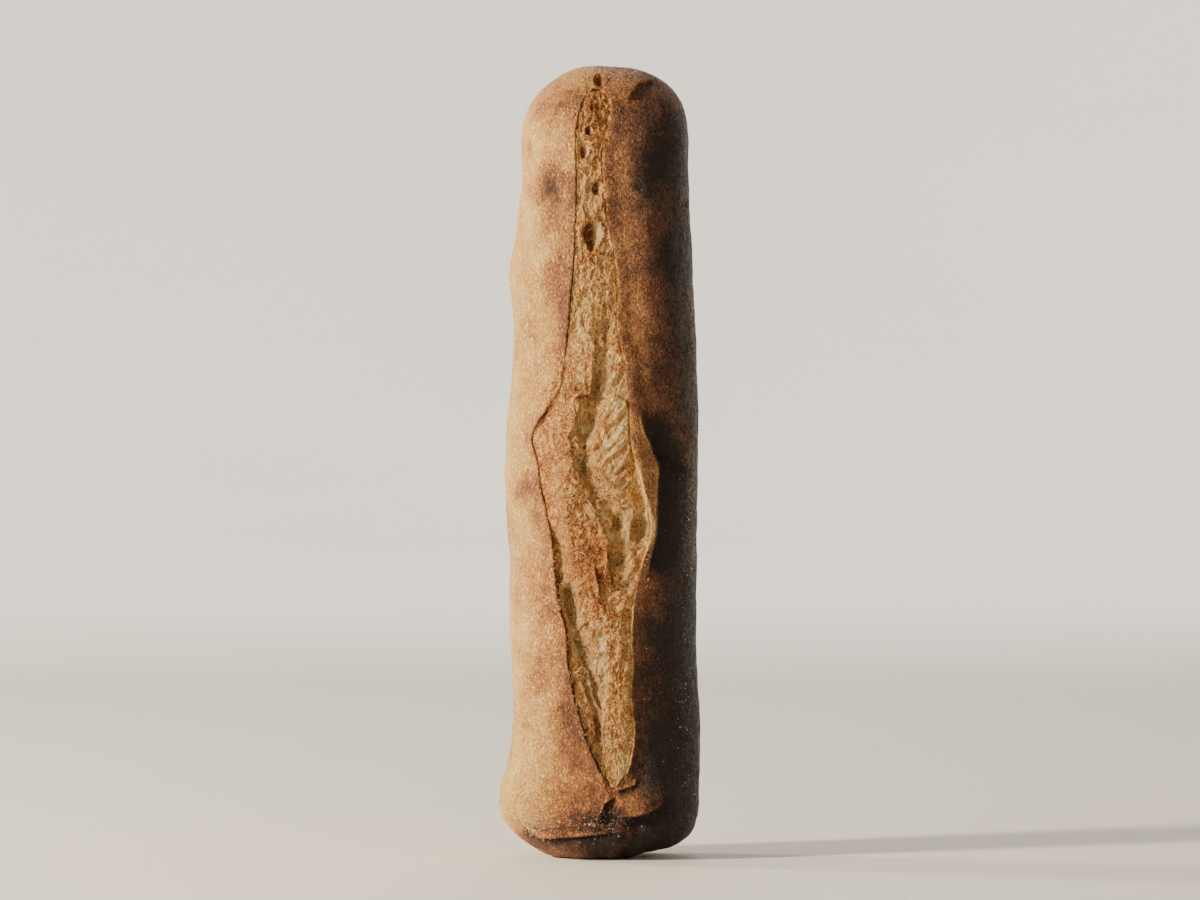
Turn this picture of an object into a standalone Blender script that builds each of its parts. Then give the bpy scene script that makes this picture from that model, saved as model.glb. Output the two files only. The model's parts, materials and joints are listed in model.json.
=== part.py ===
"""An olive oil loaf, slashed down its front and stood up on its flattened end.

The loaf is one closed solid. It starts as a UV sphere: each ring of the sphere becomes a cross-section of the
loaf and each meridian a line that runs up it, so that the two lips of the slash lie along edges of the mesh.
Metres, +Z up. The slash faces -Y, and the origin is under the middle of the loaf, level with its foot.
"""

import math

import bmesh
import bpy
from mathutils import Vector, noise

MM = 0.001


def mm(*rows):
    """Rows of millimetres as rows of metres."""
    return [tuple(MM * value for value in row) for row in rows]


# Overall form. The half widths and depths are (height, size) and are measured from the upright axis.
LENGTH = 360 * MM
TOP_DOME = 33 * MM
FOOT_CURVE = 32 * MM
FOOT_CUT = 3.4 * MM
LEFT_HALF = mm((0, 46.5), (28, 46.2), (41, 42.7), (57, 40.2), (95, 40.5), (126, 41), (154, 42.5), (178, 43.6),
               (200, 42.8), (218, 40.5), (240, 39.2), (252, 39.9), (265, 41.4), (278, 39.4), (304, 36.5),
               (330, 36), (360, 36))
RIGHT_HALF = mm((0, 45), (28, 45.2), (50, 45.6), (77, 44), (112, 43.5), (164, 44.4), (205, 44.2), (242, 43.4),
                (279, 41.3), (304, 40.6), (330, 39.8), (360, 39.5))
FRONT_DEPTH = mm((0, 36), (28, 37), (60, 35.5), (120, 37), (175, 38.5), (240, 37), (300, 35.5), (360, 34))
BACK_DEPTH = mm((0, 30), (28, 31), (60, 29), (175, 30.5), (300, 29), (360, 28))
FRONT_POWER = 2.2
BACK_POWER = 3.3

# How squarely each side turns into the top and into the foot: 2 is round and more is squarer.
TOP_POWERS = {"left": 2.0, "right": 2.5, "front": 2.2, "back": 2.5}
FOOT_POWERS = {"left": 2.1, "right": 2.9, "front": 2.5, "back": 2.7}

# The right lobe of the foot stays clear of the ground: (offset where it starts to rise, where it has risen, rise).
RIGHT_LOBE = (11 * MM, 24 * MM, 3.4 * MM)

# The slash, as (height, offset to the right): where its two lips run, and where the lifted ear of crust ends.
SLASH_TOP = 349 * MM
SLASH_FOOT = 31.5 * MM
SLASH_RUN_OUT = 11 * MM
LEFT_LIP = mm((0, -9), (20, -3), (31, 2.8), (35, 2.6), (46, -2.2), (58, -7), (72, -10.8), (85, -13.4),
              (105, -15.6), (124, -19.3), (142, -21.4), (159, -24.2), (169, -26.6), (182, -28.4), (190, -30.6),
              (196, -30), (201, -26.5), (208, -21.8), (214, -18.2), (233, -15.1), (255, -13.2), (275, -11.5),
              (297, -10.7), (330, -10.8), (338, -9.6), (348, -6), (355, -8), (360, -8))
RIGHT_LIP = mm((0, 20), (20, 14), (31, 9.2), (36, 9.6), (41, 11.5), (48, 13.5), (58, 14.8), (70, 13.8), (78, 13.1),
               (88, 14), (101, 13.4), (112, 14), (123, 15.2), (138, 19.2), (148, 22.4), (155, 22.6), (166, 19.8),
               (178, 16.9), (184, 14.6), (192, 13.4), (208, 12.9), (220, 12), (231, 9.4), (244, 6.6), (255, 7.6),
               (275, 5.9), (285, 4.1), (295, 1.5), (302, 2.9), (308, .7), (324, .9), (337, 4.4), (344, 4),
               (348, 2.4), (355, 6), (360, 8))
EAR_REACH = mm((0, 5), (122, 5), (135, 4), (141, 3.6), (148, 3), (155, 3.2), (163, 5), (171, 7.6), (181, 10.2),
               (187, 9.4), (194, 7.2), (201, 5.5), (208, 5), (360, 5))
EAR_HEIGHT = mm((0, 0), (118, 0), (128, 1.8), (140, 3.8), (160, 5.2), (176, 5.6), (186, 4.6), (196, 2.6), (206, .8),
                (214, .4), (240, .4), (262, 0), (360, 0))
LIP_HEIGHT = 1.1 * MM
LIP_UNDERCUT = .5 * MM
EAR_UNDERCUT = 1.3 * MM
EAR_DIP = 1.2 * MM

# The torn crumb in the slash: its depth under the crust by height, and the deep rifts that run along it. The drops
# are how far it steps down at the least just inside a lip, by height on the left.
CRUMB_DEPTH = mm((0, 1), (36, 1.6), (60, 2.2), (110, 2), (150, 1.2), (180, 1.2), (215, 1.5), (250, 1.6), (300, 2),
                 (340, 2.2), (360, 2))
UPPER_RIFT = mm((246, 2.5), (234, 2), (220, 1), (211, -1.5), (198, -6.5), (183, -8), (172, -5), (164, 2), (156, 6),
                (142, 7), (128, 8.5), (119, 5))
LOWER_RIFT = mm((148, -20.8), (130, -16.5), (112, -12.7), (91, -8), (75, -4), (57, -1.5), (41, 4.5))
RIFT_WIDTH = 3.2 * MM
RIFT_DEPTH = 4.2 * MM

# Swellings of the crumb, as (height, offset, half height, half width, rise).
SWELLINGS = mm((162, -15, 44, 9, 2.4), (212, -13, 14, 7, 1.3), (90, 7, 30, 5.5, 2.0), (192, 9, 22, 4.5, 1.6),
               (133, -3, 12, 7, 1.2))
LEFT_DROP = mm((0, .8), (198, .8), (207, .15), (224, .15), (232, .8), (360, .8))
RIGHT_DROP = .8 * MM
CRAG_HEIGHT = .9 * MM
CRAG_SIZE = 7 * MM

# Bubbles that burst in the slash, as (height, offset, half height, half width, depth, lean in degrees).
BUBBLES = (
    (282.5 * MM, -3.6 * MM, 7.2 * MM, 4.5 * MM, 8 * MM, 6),
    (305 * MM, -.8 * MM, 3 * MM, 2.4 * MM, 3 * MM, -25),
    (320 * MM, -6.4 * MM, 3.6 * MM, 1.9 * MM, 3 * MM, 30),
    (352.5 * MM, -.8 * MM, 3 * MM, 1.9 * MM, 3.5 * MM, -25),
)

# Folds in the crust, each a line of (height, offset) with a half width, a depth and the rise of its upper edge.
FOLDS = (
    (mm((15, -40), (12.5, -29), (12, -14), (13.5, 4)), 2.2 * MM, 2.8 * MM, .8 * MM),
    (mm((18, 1), (18.5, 14), (19, 20), (22, 27), (27, 31)), 2.2 * MM, 2.8 * MM, 1.4 * MM),
    (mm((18, 1), (24, 3.5), (30, 7)), 1.8 * MM, 2.0 * MM, 0),
    (mm((0, 10.5), (8, 12), (15, 15.5)), 2.6 * MM, 2.6 * MM, 0),
    (mm((32, 10), (33, 14), (36, 16)), 1.5 * MM, 1.2 * MM, .6 * MM),
    (mm((191, 24), (184, 27), (179, 31), (177.5, 35)), 2.8 * MM, 1.3 * MM, .7 * MM),
    (mm((346, 15), (352, 21), (350, 29)), 3 * MM, 1.4 * MM, .6 * MM),
)
SWELL_HEIGHT = 1.1 * MM
SWELL_SIZE = 46 * MM
DIMPLE_HEIGHT = .35 * MM
DIMPLE_SIZE = 13 * MM

# How the mesh is divided. A body band is (lowest height, highest height, rings).
FOOT_RINGS = 11
TOP_RINGS = 9
BODY_BANDS = ((28.6 * MM, 46 * MM, 4), (46 * MM, 120 * MM, 13), (120 * MM, 214 * MM, 21), (214 * MM, 327 * MM, 17))
CRUMB_COLUMNS = 24
ROUND_COLUMNS = 34
LEFT_LIP_COLUMNS = 6
RIGHT_LIP_COLUMNS = 9

CRUST_COLOUR = (.56, .31, .13, 1)
CRUST_ROUGHNESS = .62
SMALLEST_LIFT = .35 * MM


def smooth(low, high, value):
    """0 below low, 1 above high, and an S curve between them."""
    t = min(max((value - low) / (high - low), 0), 1)
    return t * t * (3 - 2 * t)


def along(points, at):
    """The second column of points where the first is at, along a smooth curve through them."""
    points = sorted(points)
    if at <= points[0][0]:
        return points[0][1]
    if at >= points[-1][0]:
        return points[-1][1]
    i = max(k for k in range(len(points) - 1) if points[k][0] <= at)
    (x0, y0), (x1, y1) = points[i], points[i + 1]
    span = x1 - x0

    def slope(k):
        before, after = points[max(k - 1, 0)], points[min(k + 1, len(points) - 1)]
        return (after[1] - before[1]) / (after[0] - before[0])

    t = (at - x0) / span
    pull = (t ** 3 - 2 * t ** 2 + t) * slope(i) + (t ** 3 - t ** 2) * slope(i + 1)
    return (2 * t ** 3 - 3 * t ** 2 + 1) * y0 + (3 * t ** 2 - 2 * t ** 3) * y1 + span * pull


def distance_to(line, height, offset):
    """(distance, signed height above) of a spot on the front from the nearest point of a line on it."""
    best = (math.inf, 0)
    spot = Vector((offset, height))
    for (z0, x0), (z1, x1) in zip(line, line[1:]):
        start, run = Vector((x0, z0)), Vector((x1 - x0, z1 - z0))
        t = min(max((spot - start).dot(run) / run.length_squared, 0), 1)
        gap = spot - start - t * run
        best = min(best, (gap.length, gap.y))
    return best


def rounding(height, side):
    """How far a side has drawn in towards the axis, from 1 along the body to 0 at an end."""
    top_start = LENGTH - TOP_DOME
    foot_start = FOOT_CURVE - FOOT_CUT
    if height > top_start:
        t, power = (height - top_start) / TOP_DOME, TOP_POWERS[side]
    elif height < foot_start:
        t, power = (foot_start - height) / FOOT_CURVE, FOOT_POWERS[side]
    else:
        return 1
    return max(1 - t ** power, 0) ** (1 / power)


def half_sizes(height, right, front):
    """(half width, half depth, power) of the quarter of the cross-section on that side."""
    width = along(RIGHT_HALF if right else LEFT_HALF, height) * rounding(height, "right" if right else "left")
    depth = along(FRONT_DEPTH if front else BACK_DEPTH, height) * rounding(height, "front" if front else "back")
    return width, depth, FRONT_POWER if front else BACK_POWER


def smooth_point(angle, height):
    """A point of the loaf before any relief. The angle is 0 at the front and turns to the right."""
    across, forward = math.sin(angle), math.cos(angle)
    width, depth, power = half_sizes(height, across > 0, forward > 0)
    radius = ((abs(across) / width) ** power + (abs(forward) / depth) ** power) ** (-1 / power)
    return Vector((radius * across, -radius * forward, height))


def outward(angle, height):
    """The unit normal of the smooth loaf."""
    turn, climb = .02, .4 * MM
    low, high = max(height - climb, .05 * MM), min(height + climb, LENGTH - .05 * MM)
    sideways = smooth_point(angle + turn, height) - smooth_point(angle - turn, height)
    upwards = smooth_point(angle, high) - smooth_point(angle, low)
    return sideways.cross(upwards).normalized()


def angle_at(offset, height):
    """The angle at which the front of the smooth loaf is that far to the right."""
    width, depth, power = half_sizes(height, offset > 0, True)
    share = min(abs(offset) / width, .98)
    return math.atan2(math.copysign(share, offset) * width, depth * (1 - share ** power) ** (1 / power))


def angle_under(offset, lift, height):
    """The angle whose point is that far to the right once it is lifted along its normal."""
    angle = angle_at(offset, height)
    return angle_at(offset - lift * outward(angle, height).x, height)


def openness(height):
    """How far the slash has opened at that height: 1 along its middle and 0 past its ends."""
    lower = smooth(SLASH_FOOT, SLASH_FOOT + SLASH_RUN_OUT, height)
    return lower * (1 - smooth(SLASH_TOP - SLASH_RUN_OUT, SLASH_TOP, height))


def rift(line, height, offset):
    """The depth that a rift adds there."""
    gap, _ = distance_to(line, height, offset)
    return RIFT_DEPTH * math.exp(-(gap / RIFT_WIDTH) ** 2)


def crumb_height(offset, height):
    """The height of the torn crumb over the smooth loaf, which is negative where it lies deeper."""
    lift = -along(CRUMB_DEPTH, height)
    lift -= max(rift(UPPER_RIFT, height, offset), rift(LOWER_RIFT, height, offset))
    for middle, sideways, tall, wide, rise in SWELLINGS:
        lift += rise * math.exp(-((height - middle) / tall) ** 2 - ((offset - sideways) / wide) ** 2)
    crag = noise.noise(Vector((offset / CRAG_SIZE * 1.6, 3, height / CRAG_SIZE * .8)))
    return lift + CRAG_HEIGHT * (1 - 2.4 * abs(crag))


def crust_height(point):
    """The height of the crust's own unevenness and folds at a point of the smooth loaf."""
    lift = SWELL_HEIGHT * noise.noise(point / SWELL_SIZE) + DIMPLE_HEIGHT * noise.noise(point / DIMPLE_SIZE)
    if point.y > 0:
        return lift
    for line, width, depth, rise in FOLDS:
        gap, above = distance_to(line, point.z, point.x)
        lift -= depth * math.exp(-(gap / width) ** 2)
        edge = (gap - 1.6 * width) / width
        lift += rise * math.exp(-edge ** 2) * (above > 0)
    return lift


def lobe_rise(offset, height):
    """How far the right lobe of the foot is raised at that place."""
    start, end, rise = RIGHT_LOBE
    fade = max(1 - height / (FOOT_CURVE - FOOT_CUT), 0)
    return rise * fade ** 2 * smooth(start, end, offset)


def slash_columns(height):
    """The columns from the left of the slash to the right of its ear, as (angle, height over the smooth loaf)."""
    opened = openness(height)
    left, right = along(LEFT_LIP, height), along(RIGHT_LIP, height)
    ear, reach = along(EAR_HEIGHT, height), along(EAR_REACH, height)
    lip, under = LIP_HEIGHT * opened, LIP_UNDERCUT * opened
    step = (right - left) / CRUMB_COLUMNS
    floor_left = min(crumb_height(left, height), -along(LEFT_DROP, height)) * opened
    floor_right = min(crumb_height(right, height), -RIGHT_DROP) * opened
    spots = [
        (left - 8 * MM, 0),
        (left - 5 * MM, .15 * lip),
        (left - 2.8 * MM, .7 * lip),
        (left - 1.1 * MM, lip),
        (left, .7 * lip),
        (left + .25 * step - 1.4 * under, .5 * floor_left),
    ]
    for i in range(CRUMB_COLUMNS):
        offset = left + (i + .5) * step
        spots.append((offset, crumb_height(offset, height) * opened))
    spots += [
        (right - .25 * step + 1.4 * under, .5 * floor_right + .3 * ear),
        (right, .7 * lip + ear),
        (right + .22 * reach, lip + ear),
        (right + .5 * reach, .7 * lip + .93 * ear),
        (right + .78 * reach, .4 * lip + .8 * ear),
        (right + reach, .2 * lip + .55 * ear),
        (right + reach + .6 * MM - EAR_UNDERCUT * min(ear / (3 * MM), 1), .15 * ear),
        (right + reach + 2.2 * MM, -EAR_DIP * min(ear / (3 * MM), 1)),
        (right + reach + 6 * MM, -.4 * EAR_DIP * min(ear / (3 * MM), 1)),
    ]
    return [(angle_under(offset, lift, height), lift) for offset, lift in spots]


def ring_columns(height):
    """Every column of one ring: the slash first, then round the back to where the slash starts."""
    columns = slash_columns(height)
    first, last = columns[0][0], columns[-1][0]
    step = (first + math.tau - last) / (ROUND_COLUMNS + 1)
    return columns + [(last + step * (i + 1), 0) for i in range(ROUND_COLUMNS)]


def ring_heights():
    """The heights of the rings from the flat foot to just under the top."""
    foot_start = FOOT_CURVE - FOOT_CUT
    foot_angle = math.asin(foot_start / FOOT_CURVE)
    heights = [foot_start - FOOT_CURVE * math.sin(foot_angle * (1 - i / FOOT_RINGS)) for i in range(FOOT_RINGS)]
    for low, high, rings in BODY_BANDS:
        heights += [low + (high - low) * i / rings for i in range(rings)]
    top_start = LENGTH - TOP_DOME
    return heights + [top_start + TOP_DOME * math.sin(math.pi / 2 * i / TOP_RINGS) for i in range(TOP_RINGS)]


def ring_points(height):
    """The finished points of one ring."""
    points = []
    for angle, lift in ring_columns(height):
        base = smooth_point(angle, height)
        point = base + outward(angle, height) * (lift + crust_height(base))
        point.z = max(point.z, SMALLEST_LIFT) if height > SMALLEST_LIFT else 0
        point.z += lobe_rise(point.x, height)
        points.append(point)
    return points


def placed_on_rings(mesh):
    """Moves each vertex of a UV sphere to its place on the loaf, by its ring and its column."""
    rings = [ring_points(height) for height in ring_heights()]
    columns = len(rings[0])
    for vertex in mesh.verts:
        latitude = math.asin(max(-1, min(1, vertex.co.z)))
        ring = round((latitude / math.pi + .5) * (len(rings) + 1))
        column = round(math.atan2(vertex.co.y, vertex.co.x) / math.tau * columns) % columns
        if ring == 0:
            vertex.co = sum(rings[0], Vector()) / columns
            vertex.co.z = 0
        elif ring == len(rings) + 1:
            vertex.co = sum(rings[-1], Vector()) / columns
            vertex.co.z = LENGTH
        else:
            vertex.co = rings[ring - 1][column]


def crust_material():
    """Baked crust: brown, and dull with flour."""
    material = bpy.data.materials.new("baked_crust")
    material.use_nodes = True
    shader = material.node_tree.nodes["Principled BSDF"]
    shader.inputs["Base Color"].default_value = CRUST_COLOUR
    shader.inputs["Roughness"].default_value = CRUST_ROUGHNESS
    shader.inputs["Metallic"].default_value = 0
    return material


def new_object(name, mesh, collection):
    """An object that holds the mesh, in the collection."""
    data = bpy.data.meshes.new(name)
    mesh.to_mesh(data)
    mesh.free()
    obj = bpy.data.objects.new(name, data)
    collection.objects.link(obj)
    return obj


def new_collection(name):
    """A collection in the scene."""
    collection = bpy.data.collections.new(name)
    bpy.context.scene.collection.children.link(collection)
    return collection


def loaf(collection):
    """The loaf before its bubbles are cut, moved so that its box stands centred over the origin."""
    columns = LEFT_LIP_COLUMNS + CRUMB_COLUMNS + RIGHT_LIP_COLUMNS + ROUND_COLUMNS
    mesh = bmesh.new()
    bmesh.ops.create_uvsphere(mesh, u_segments=columns, v_segments=len(ring_heights()) + 1, radius=1)
    placed_on_rings(mesh)
    bmesh.ops.recalc_face_normals(mesh, faces=mesh.faces)
    low = [min(vertex.co[axis] for vertex in mesh.verts) for axis in range(2)]
    high = [max(vertex.co[axis] for vertex in mesh.verts) for axis in range(2)]
    middle = Vector(((low[0] + high[0]) / 2, (low[1] + high[1]) / 2, 0))
    bmesh.ops.translate(mesh, verts=mesh.verts, vec=-middle)
    obj = new_object("loaf", mesh, collection)
    obj.data.materials.append(crust_material())
    obj.data.shade_smooth()
    obj.data.set_sharp_from_angle(angle=math.radians(50))
    return obj, middle


def bubble(bubble_sizes, middle, collection):
    """An egg-shaped cutter that opens one burst bubble in the crumb."""
    height, offset, tall, wide, deep, lean = bubble_sizes
    mesh = bmesh.new()
    bmesh.ops.create_icosphere(mesh, subdivisions=2, radius=1)
    for vertex in mesh.verts:
        vertex.co.x *= 1 + .25 * vertex.co.z
        vertex.co = Vector((vertex.co.x * wide, vertex.co.y * deep, vertex.co.z * tall))
    cutter = new_object("bubble_cutter", mesh, collection)
    lift = crumb_height(offset, height) * openness(height)
    angle = angle_at(offset, height)
    cutter.location = smooth_point(angle, height) + outward(angle, height) * lift - middle
    cutter.rotation_euler = (0, math.radians(lean), 0)
    cutter.hide_render = True
    cutter.display_type = "WIRE"


def main():
    """Clears the scene and builds the loaf with its burst bubbles."""
    for old in list(bpy.data.objects):
        bpy.data.objects.remove(old)
    body, middle = loaf(new_collection("olive_oil_loaf"))
    cutters = new_collection("bubble_cutters")
    for sizes in BUBBLES:
        bubble(sizes, middle, cutters)
    cut = body.modifiers.new("burst_bubbles", "BOOLEAN")
    cut.operation = "DIFFERENCE"
    cut.operand_type = "COLLECTION"
    cut.collection = cutters
    cut.solver = "EXACT"


main()
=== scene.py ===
"""An olive oil loaf that stands on its flattened end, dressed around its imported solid.

The loaf is one piece of bread and shows five things: its baked crust, the torn crumb in the slash down its
front, strands of gluten across the hollows of the crumb, torn scraps along the lips, and a dusting of flour.
Metres, +Z up; the slash faces -Y. A place on the front is given as (height, offset), the offset being to
the right of the loaf's axis.
"""

import json
import logging
import math
from dataclasses import dataclass, field
from enum import Enum
from typing import Callable, Sequence

import bmesh
import bpy
import numpy as np
from mathutils import Matrix, Vector, noise
from mathutils.bvhtree import BVHTree

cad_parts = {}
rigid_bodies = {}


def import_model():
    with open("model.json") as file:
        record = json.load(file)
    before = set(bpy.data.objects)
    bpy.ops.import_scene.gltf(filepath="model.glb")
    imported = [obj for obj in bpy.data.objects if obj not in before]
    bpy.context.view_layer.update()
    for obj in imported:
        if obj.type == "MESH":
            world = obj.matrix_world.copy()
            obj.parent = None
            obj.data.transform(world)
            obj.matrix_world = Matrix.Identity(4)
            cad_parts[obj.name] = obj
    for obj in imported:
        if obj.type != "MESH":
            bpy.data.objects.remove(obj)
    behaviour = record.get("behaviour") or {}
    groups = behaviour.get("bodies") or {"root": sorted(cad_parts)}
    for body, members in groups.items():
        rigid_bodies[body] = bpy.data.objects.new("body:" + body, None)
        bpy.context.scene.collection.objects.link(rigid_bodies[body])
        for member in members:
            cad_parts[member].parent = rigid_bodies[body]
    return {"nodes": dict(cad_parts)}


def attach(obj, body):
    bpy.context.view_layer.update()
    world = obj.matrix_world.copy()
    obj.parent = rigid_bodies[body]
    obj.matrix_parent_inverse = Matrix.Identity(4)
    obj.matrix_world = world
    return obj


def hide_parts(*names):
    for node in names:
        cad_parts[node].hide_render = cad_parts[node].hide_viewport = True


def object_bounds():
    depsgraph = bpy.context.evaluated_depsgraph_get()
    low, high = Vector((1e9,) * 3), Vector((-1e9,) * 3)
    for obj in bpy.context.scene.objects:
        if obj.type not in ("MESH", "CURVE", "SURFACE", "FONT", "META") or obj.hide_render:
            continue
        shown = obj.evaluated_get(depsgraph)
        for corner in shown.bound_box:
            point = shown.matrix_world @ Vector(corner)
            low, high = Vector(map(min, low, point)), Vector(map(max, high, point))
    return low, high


for leftover in list(bpy.data.objects):
    bpy.data.objects.remove(leftover)

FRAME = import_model()
CAD_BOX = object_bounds()
LOG = logging.getLogger("loaf")

MM = 0.001
SEED = 36
AXIS = Vector((0.222 * MM, 5.696 * MM, 0))
PAST_TOP = 362 * MM
TOWARDS_BACK = Vector((0, 1, 0))


class Slot(Enum):
    """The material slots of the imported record."""

    CRUST = "baked_crust"


class Attribute(Enum):
    """What a mesh says about its surface, from 0 to 1, for the materials to read."""

    BAKE = "bake"
    FLOUR = "flour"
    TOAST = "toast"
    HOLLOW = "hollow"


# Shader helpers


def linear(colour: str) -> tuple[float, float, float, float]:
    """Turns an sRGB hex colour to linear light.

    Args:
        colour: Six hex digits.

    Returns:
        Red, green, blue and alpha.
    """
    channels = [int(colour[i : i + 2], 16) / 255 for i in (0, 2, 4)]
    light = [c / 12.92 if c <= 0.04045 else ((c + 0.055) / 1.055) ** 2.4 for c in channels]
    return (light[0], light[1], light[2], 1.0)


def add_node(
    tree: bpy.types.NodeTree,
    kind: str,
    inputs: dict | None = None,
    stops: Sequence[tuple[float, str]] = (),
    **settings,
) -> bpy.types.Node:
    """Adds a shader node.

    Args:
        tree: The node tree.
        kind: The node's type name, without its ShaderNode prefix.
        inputs: Socket name or index to a value, or to (node, output name or index) for a link.
        stops: (position, sRGB hex colour) from the lowest position up, for a colour ramp.
        settings: The node's own properties.

    Returns:
        The node.
    """
    node = tree.nodes.new("ShaderNode" + kind)
    for name, value in settings.items():
        setattr(node, name, value)
    for socket, value in (inputs or {}).items():
        if isinstance(value, tuple) and isinstance(value[0], bpy.types.Node):
            tree.links.new(value[0].outputs[value[1]], node.inputs[socket])
        else:
            node.inputs[socket].default_value = value
    for i, (position, colour) in enumerate(stops):
        elements = node.color_ramp.elements
        element = elements[i] if i < len(elements) else elements.new(1.0)
        element.position = position
        element.color = linear(colour)
    return node


def new_material(name: str) -> tuple[bpy.types.Material, bpy.types.NodeTree, bpy.types.Node]:
    """Starts a material.

    Args:
        name: The material's name.

    Returns:
        The material, its node tree and its Principled shader.
    """
    material = bpy.data.materials.new(name)
    material.use_nodes = True
    tree = material.node_tree
    return material, tree, tree.nodes["Principled BSDF"]


def weighted_sum(tree: bpy.types.NodeTree, terms: Sequence[tuple[tuple, float]]) -> tuple:
    """Adds up node outputs, each times its own weight.

    Args:
        tree: The node tree.
        terms: ((node, output), weight) for each.

    Returns:
        The (node, output) that holds the sum.
    """
    total: tuple | float = 0.0
    for source, weight in terms:
        scaled = add_node(tree, "Math", {0: source, 1: weight, 2: total}, operation="MULTIPLY_ADD")
        total = (scaled, 0)
    return total


def crests(tree: bpy.types.NodeTree, source: tuple, width: float) -> tuple:
    """Draws a line along the middle value of a noise, which runs over a surface like a thread.

    Args:
        tree: The node tree.
        source: (node, output) of the noise.
        width: How far from the middle value the line fades out.

    Returns:
        The (node, output) that is 1 on the line and 0 away from it.
    """
    middle = add_node(tree, "Math", {0: source, 1: 0.5}, operation="SUBTRACT")
    away = add_node(tree, "Math", {0: (middle, 0)}, operation="ABSOLUTE")
    line = add_node(tree, "MapRange", {"Value": (away, 0), "From Max": width, "To Min": 1.0, "To Max": 0.0})
    return (line, "Result")


# Mesh helpers


def select_only(obj: bpy.types.Object) -> None:
    """Makes one object the only selected one, and the active one.

    Args:
        obj: The object.
    """
    bpy.ops.object.select_all(action="DESELECT")
    obj.select_set(True)
    bpy.context.view_layer.objects.active = obj


def apply_modifier(obj: bpy.types.Object, kind: str, **settings) -> None:
    """Adds a modifier with these settings and applies it.

    Args:
        obj: The object.
        kind: The modifier's type.
        settings: The modifier's own properties.
    """
    select_only(obj)
    modifier = obj.modifiers.new(kind.lower(), kind)
    for name, value in settings.items():
        setattr(modifier, name, value)
    bpy.ops.object.modifier_apply(modifier=modifier.name)


def places(obj: bpy.types.Object) -> np.ndarray:
    """Reads the positions of the object's vertices.

    Args:
        obj: The object.

    Returns:
        x, y and z in metres, a row for each.
    """
    flat = np.empty(3 * len(obj.data.vertices), np.float32)
    obj.data.vertices.foreach_get("co", flat)
    return flat.reshape(-1, 3).astype(float)


def move_to(obj: bpy.types.Object, points: np.ndarray) -> None:
    """Moves the object's vertices to those positions."""
    obj.data.vertices.foreach_set("co", points.astype(np.float32).ravel())
    obj.data.update()


def boxed(points: np.ndarray) -> np.ndarray:
    """The points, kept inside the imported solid's box."""
    low, high = (np.array(corner) for corner in CAD_BOX)
    return np.clip(points, low, high)


def normals_of(obj: bpy.types.Object) -> np.ndarray:
    """Reads the normals at the object's vertices.

    Args:
        obj: The object.

    Returns:
        x, y and z, a row for each vertex.
    """
    flat = np.empty(3 * len(obj.data.vertices), np.float32)
    obj.data.vertex_normals.foreach_get("vector", flat)
    return flat.reshape(-1, 3).astype(float)


def triangles(obj: bpy.types.Object) -> int:
    """How many triangles the object's faces come to."""
    return sum(face.loop_total - 2 for face in obj.data.polygons)


def write_attribute(obj: bpy.types.Object, name: Attribute, values: np.ndarray) -> None:
    """Stores a value from 0 to 1 for each vertex."""
    layer = obj.data.attributes.new(name.value, "FLOAT", "POINT")
    layer.data.foreach_set("value", np.clip(values, 0, 1).astype(np.float32))


def smooth(low: float, high: float, value: np.ndarray) -> np.ndarray:
    """0 below low, 1 above high, and an S curve between them."""
    t = np.clip((value - low) / (high - low), 0, 1)
    return t * t * (3 - 2 * t)


def peak(value: np.ndarray, middle: float, width: float | np.ndarray) -> np.ndarray:
    """1 at the middle value, fading out over that width on both sides of it."""
    return np.exp(-(((value - middle) / width) ** 2))


def stretch_of(heights: np.ndarray, start: tuple[float, float], end: tuple[float, float]) -> np.ndarray:
    """1 along a stretch of the loaf and 0 elsewhere, changing between the two heights of each end, in mm."""
    return smooth(*start, heights / MM) * (1 - smooth(*end, heights / MM))


def perlin(points: np.ndarray, size: float | Sequence[float], seed: float = 0.0) -> np.ndarray:
    """Smooth noise.

    Args:
        points: One row each, in metres.
        size: How large its lumps are, in metres, for all axes or for each.
        seed: Another number gives another pattern.

    Returns:
        A value from about -1 to 1 for each point.
    """
    scaled = points / np.asarray(size) + seed
    return np.array([noise.noise(p) for p in scaled.tolist()])


def ridged(points: np.ndarray, size: float | Sequence[float], seed: float = 0.0) -> np.ndarray:
    """Noise with sharp crests, from about -1 in its hollows to 1 on its crests."""
    return 1 - 2.6 * np.abs(perlin(points, size, seed))


def cells(
    points: np.ndarray, size: float | Sequence[float], seed: float = 0.0
) -> tuple[np.ndarray, np.ndarray, np.ndarray]:
    """A pattern of cells about scattered centres.

    Args:
        points: One row each, in metres.
        size: How far apart the centres are, in metres.
        seed: Another number gives another pattern.

    Returns:
        For each point, how far the nearest centre is and how much further the next one, in cells, and a
        random value from 0 to 1 that is the same all over the cell.
    """
    scaled = points / np.asarray(size) + seed
    near, gap, chance = np.empty(len(points)), np.empty(len(points)), np.empty(len(points))
    for i, point in enumerate(scaled.tolist()):
        distances, centres = noise.voronoi(point)
        near[i] = distances[0]
        gap[i] = distances[1] - distances[0]
        chance[i] = noise.cell(centres[0] * 7.31) % 1
    return near, gap, chance


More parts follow.
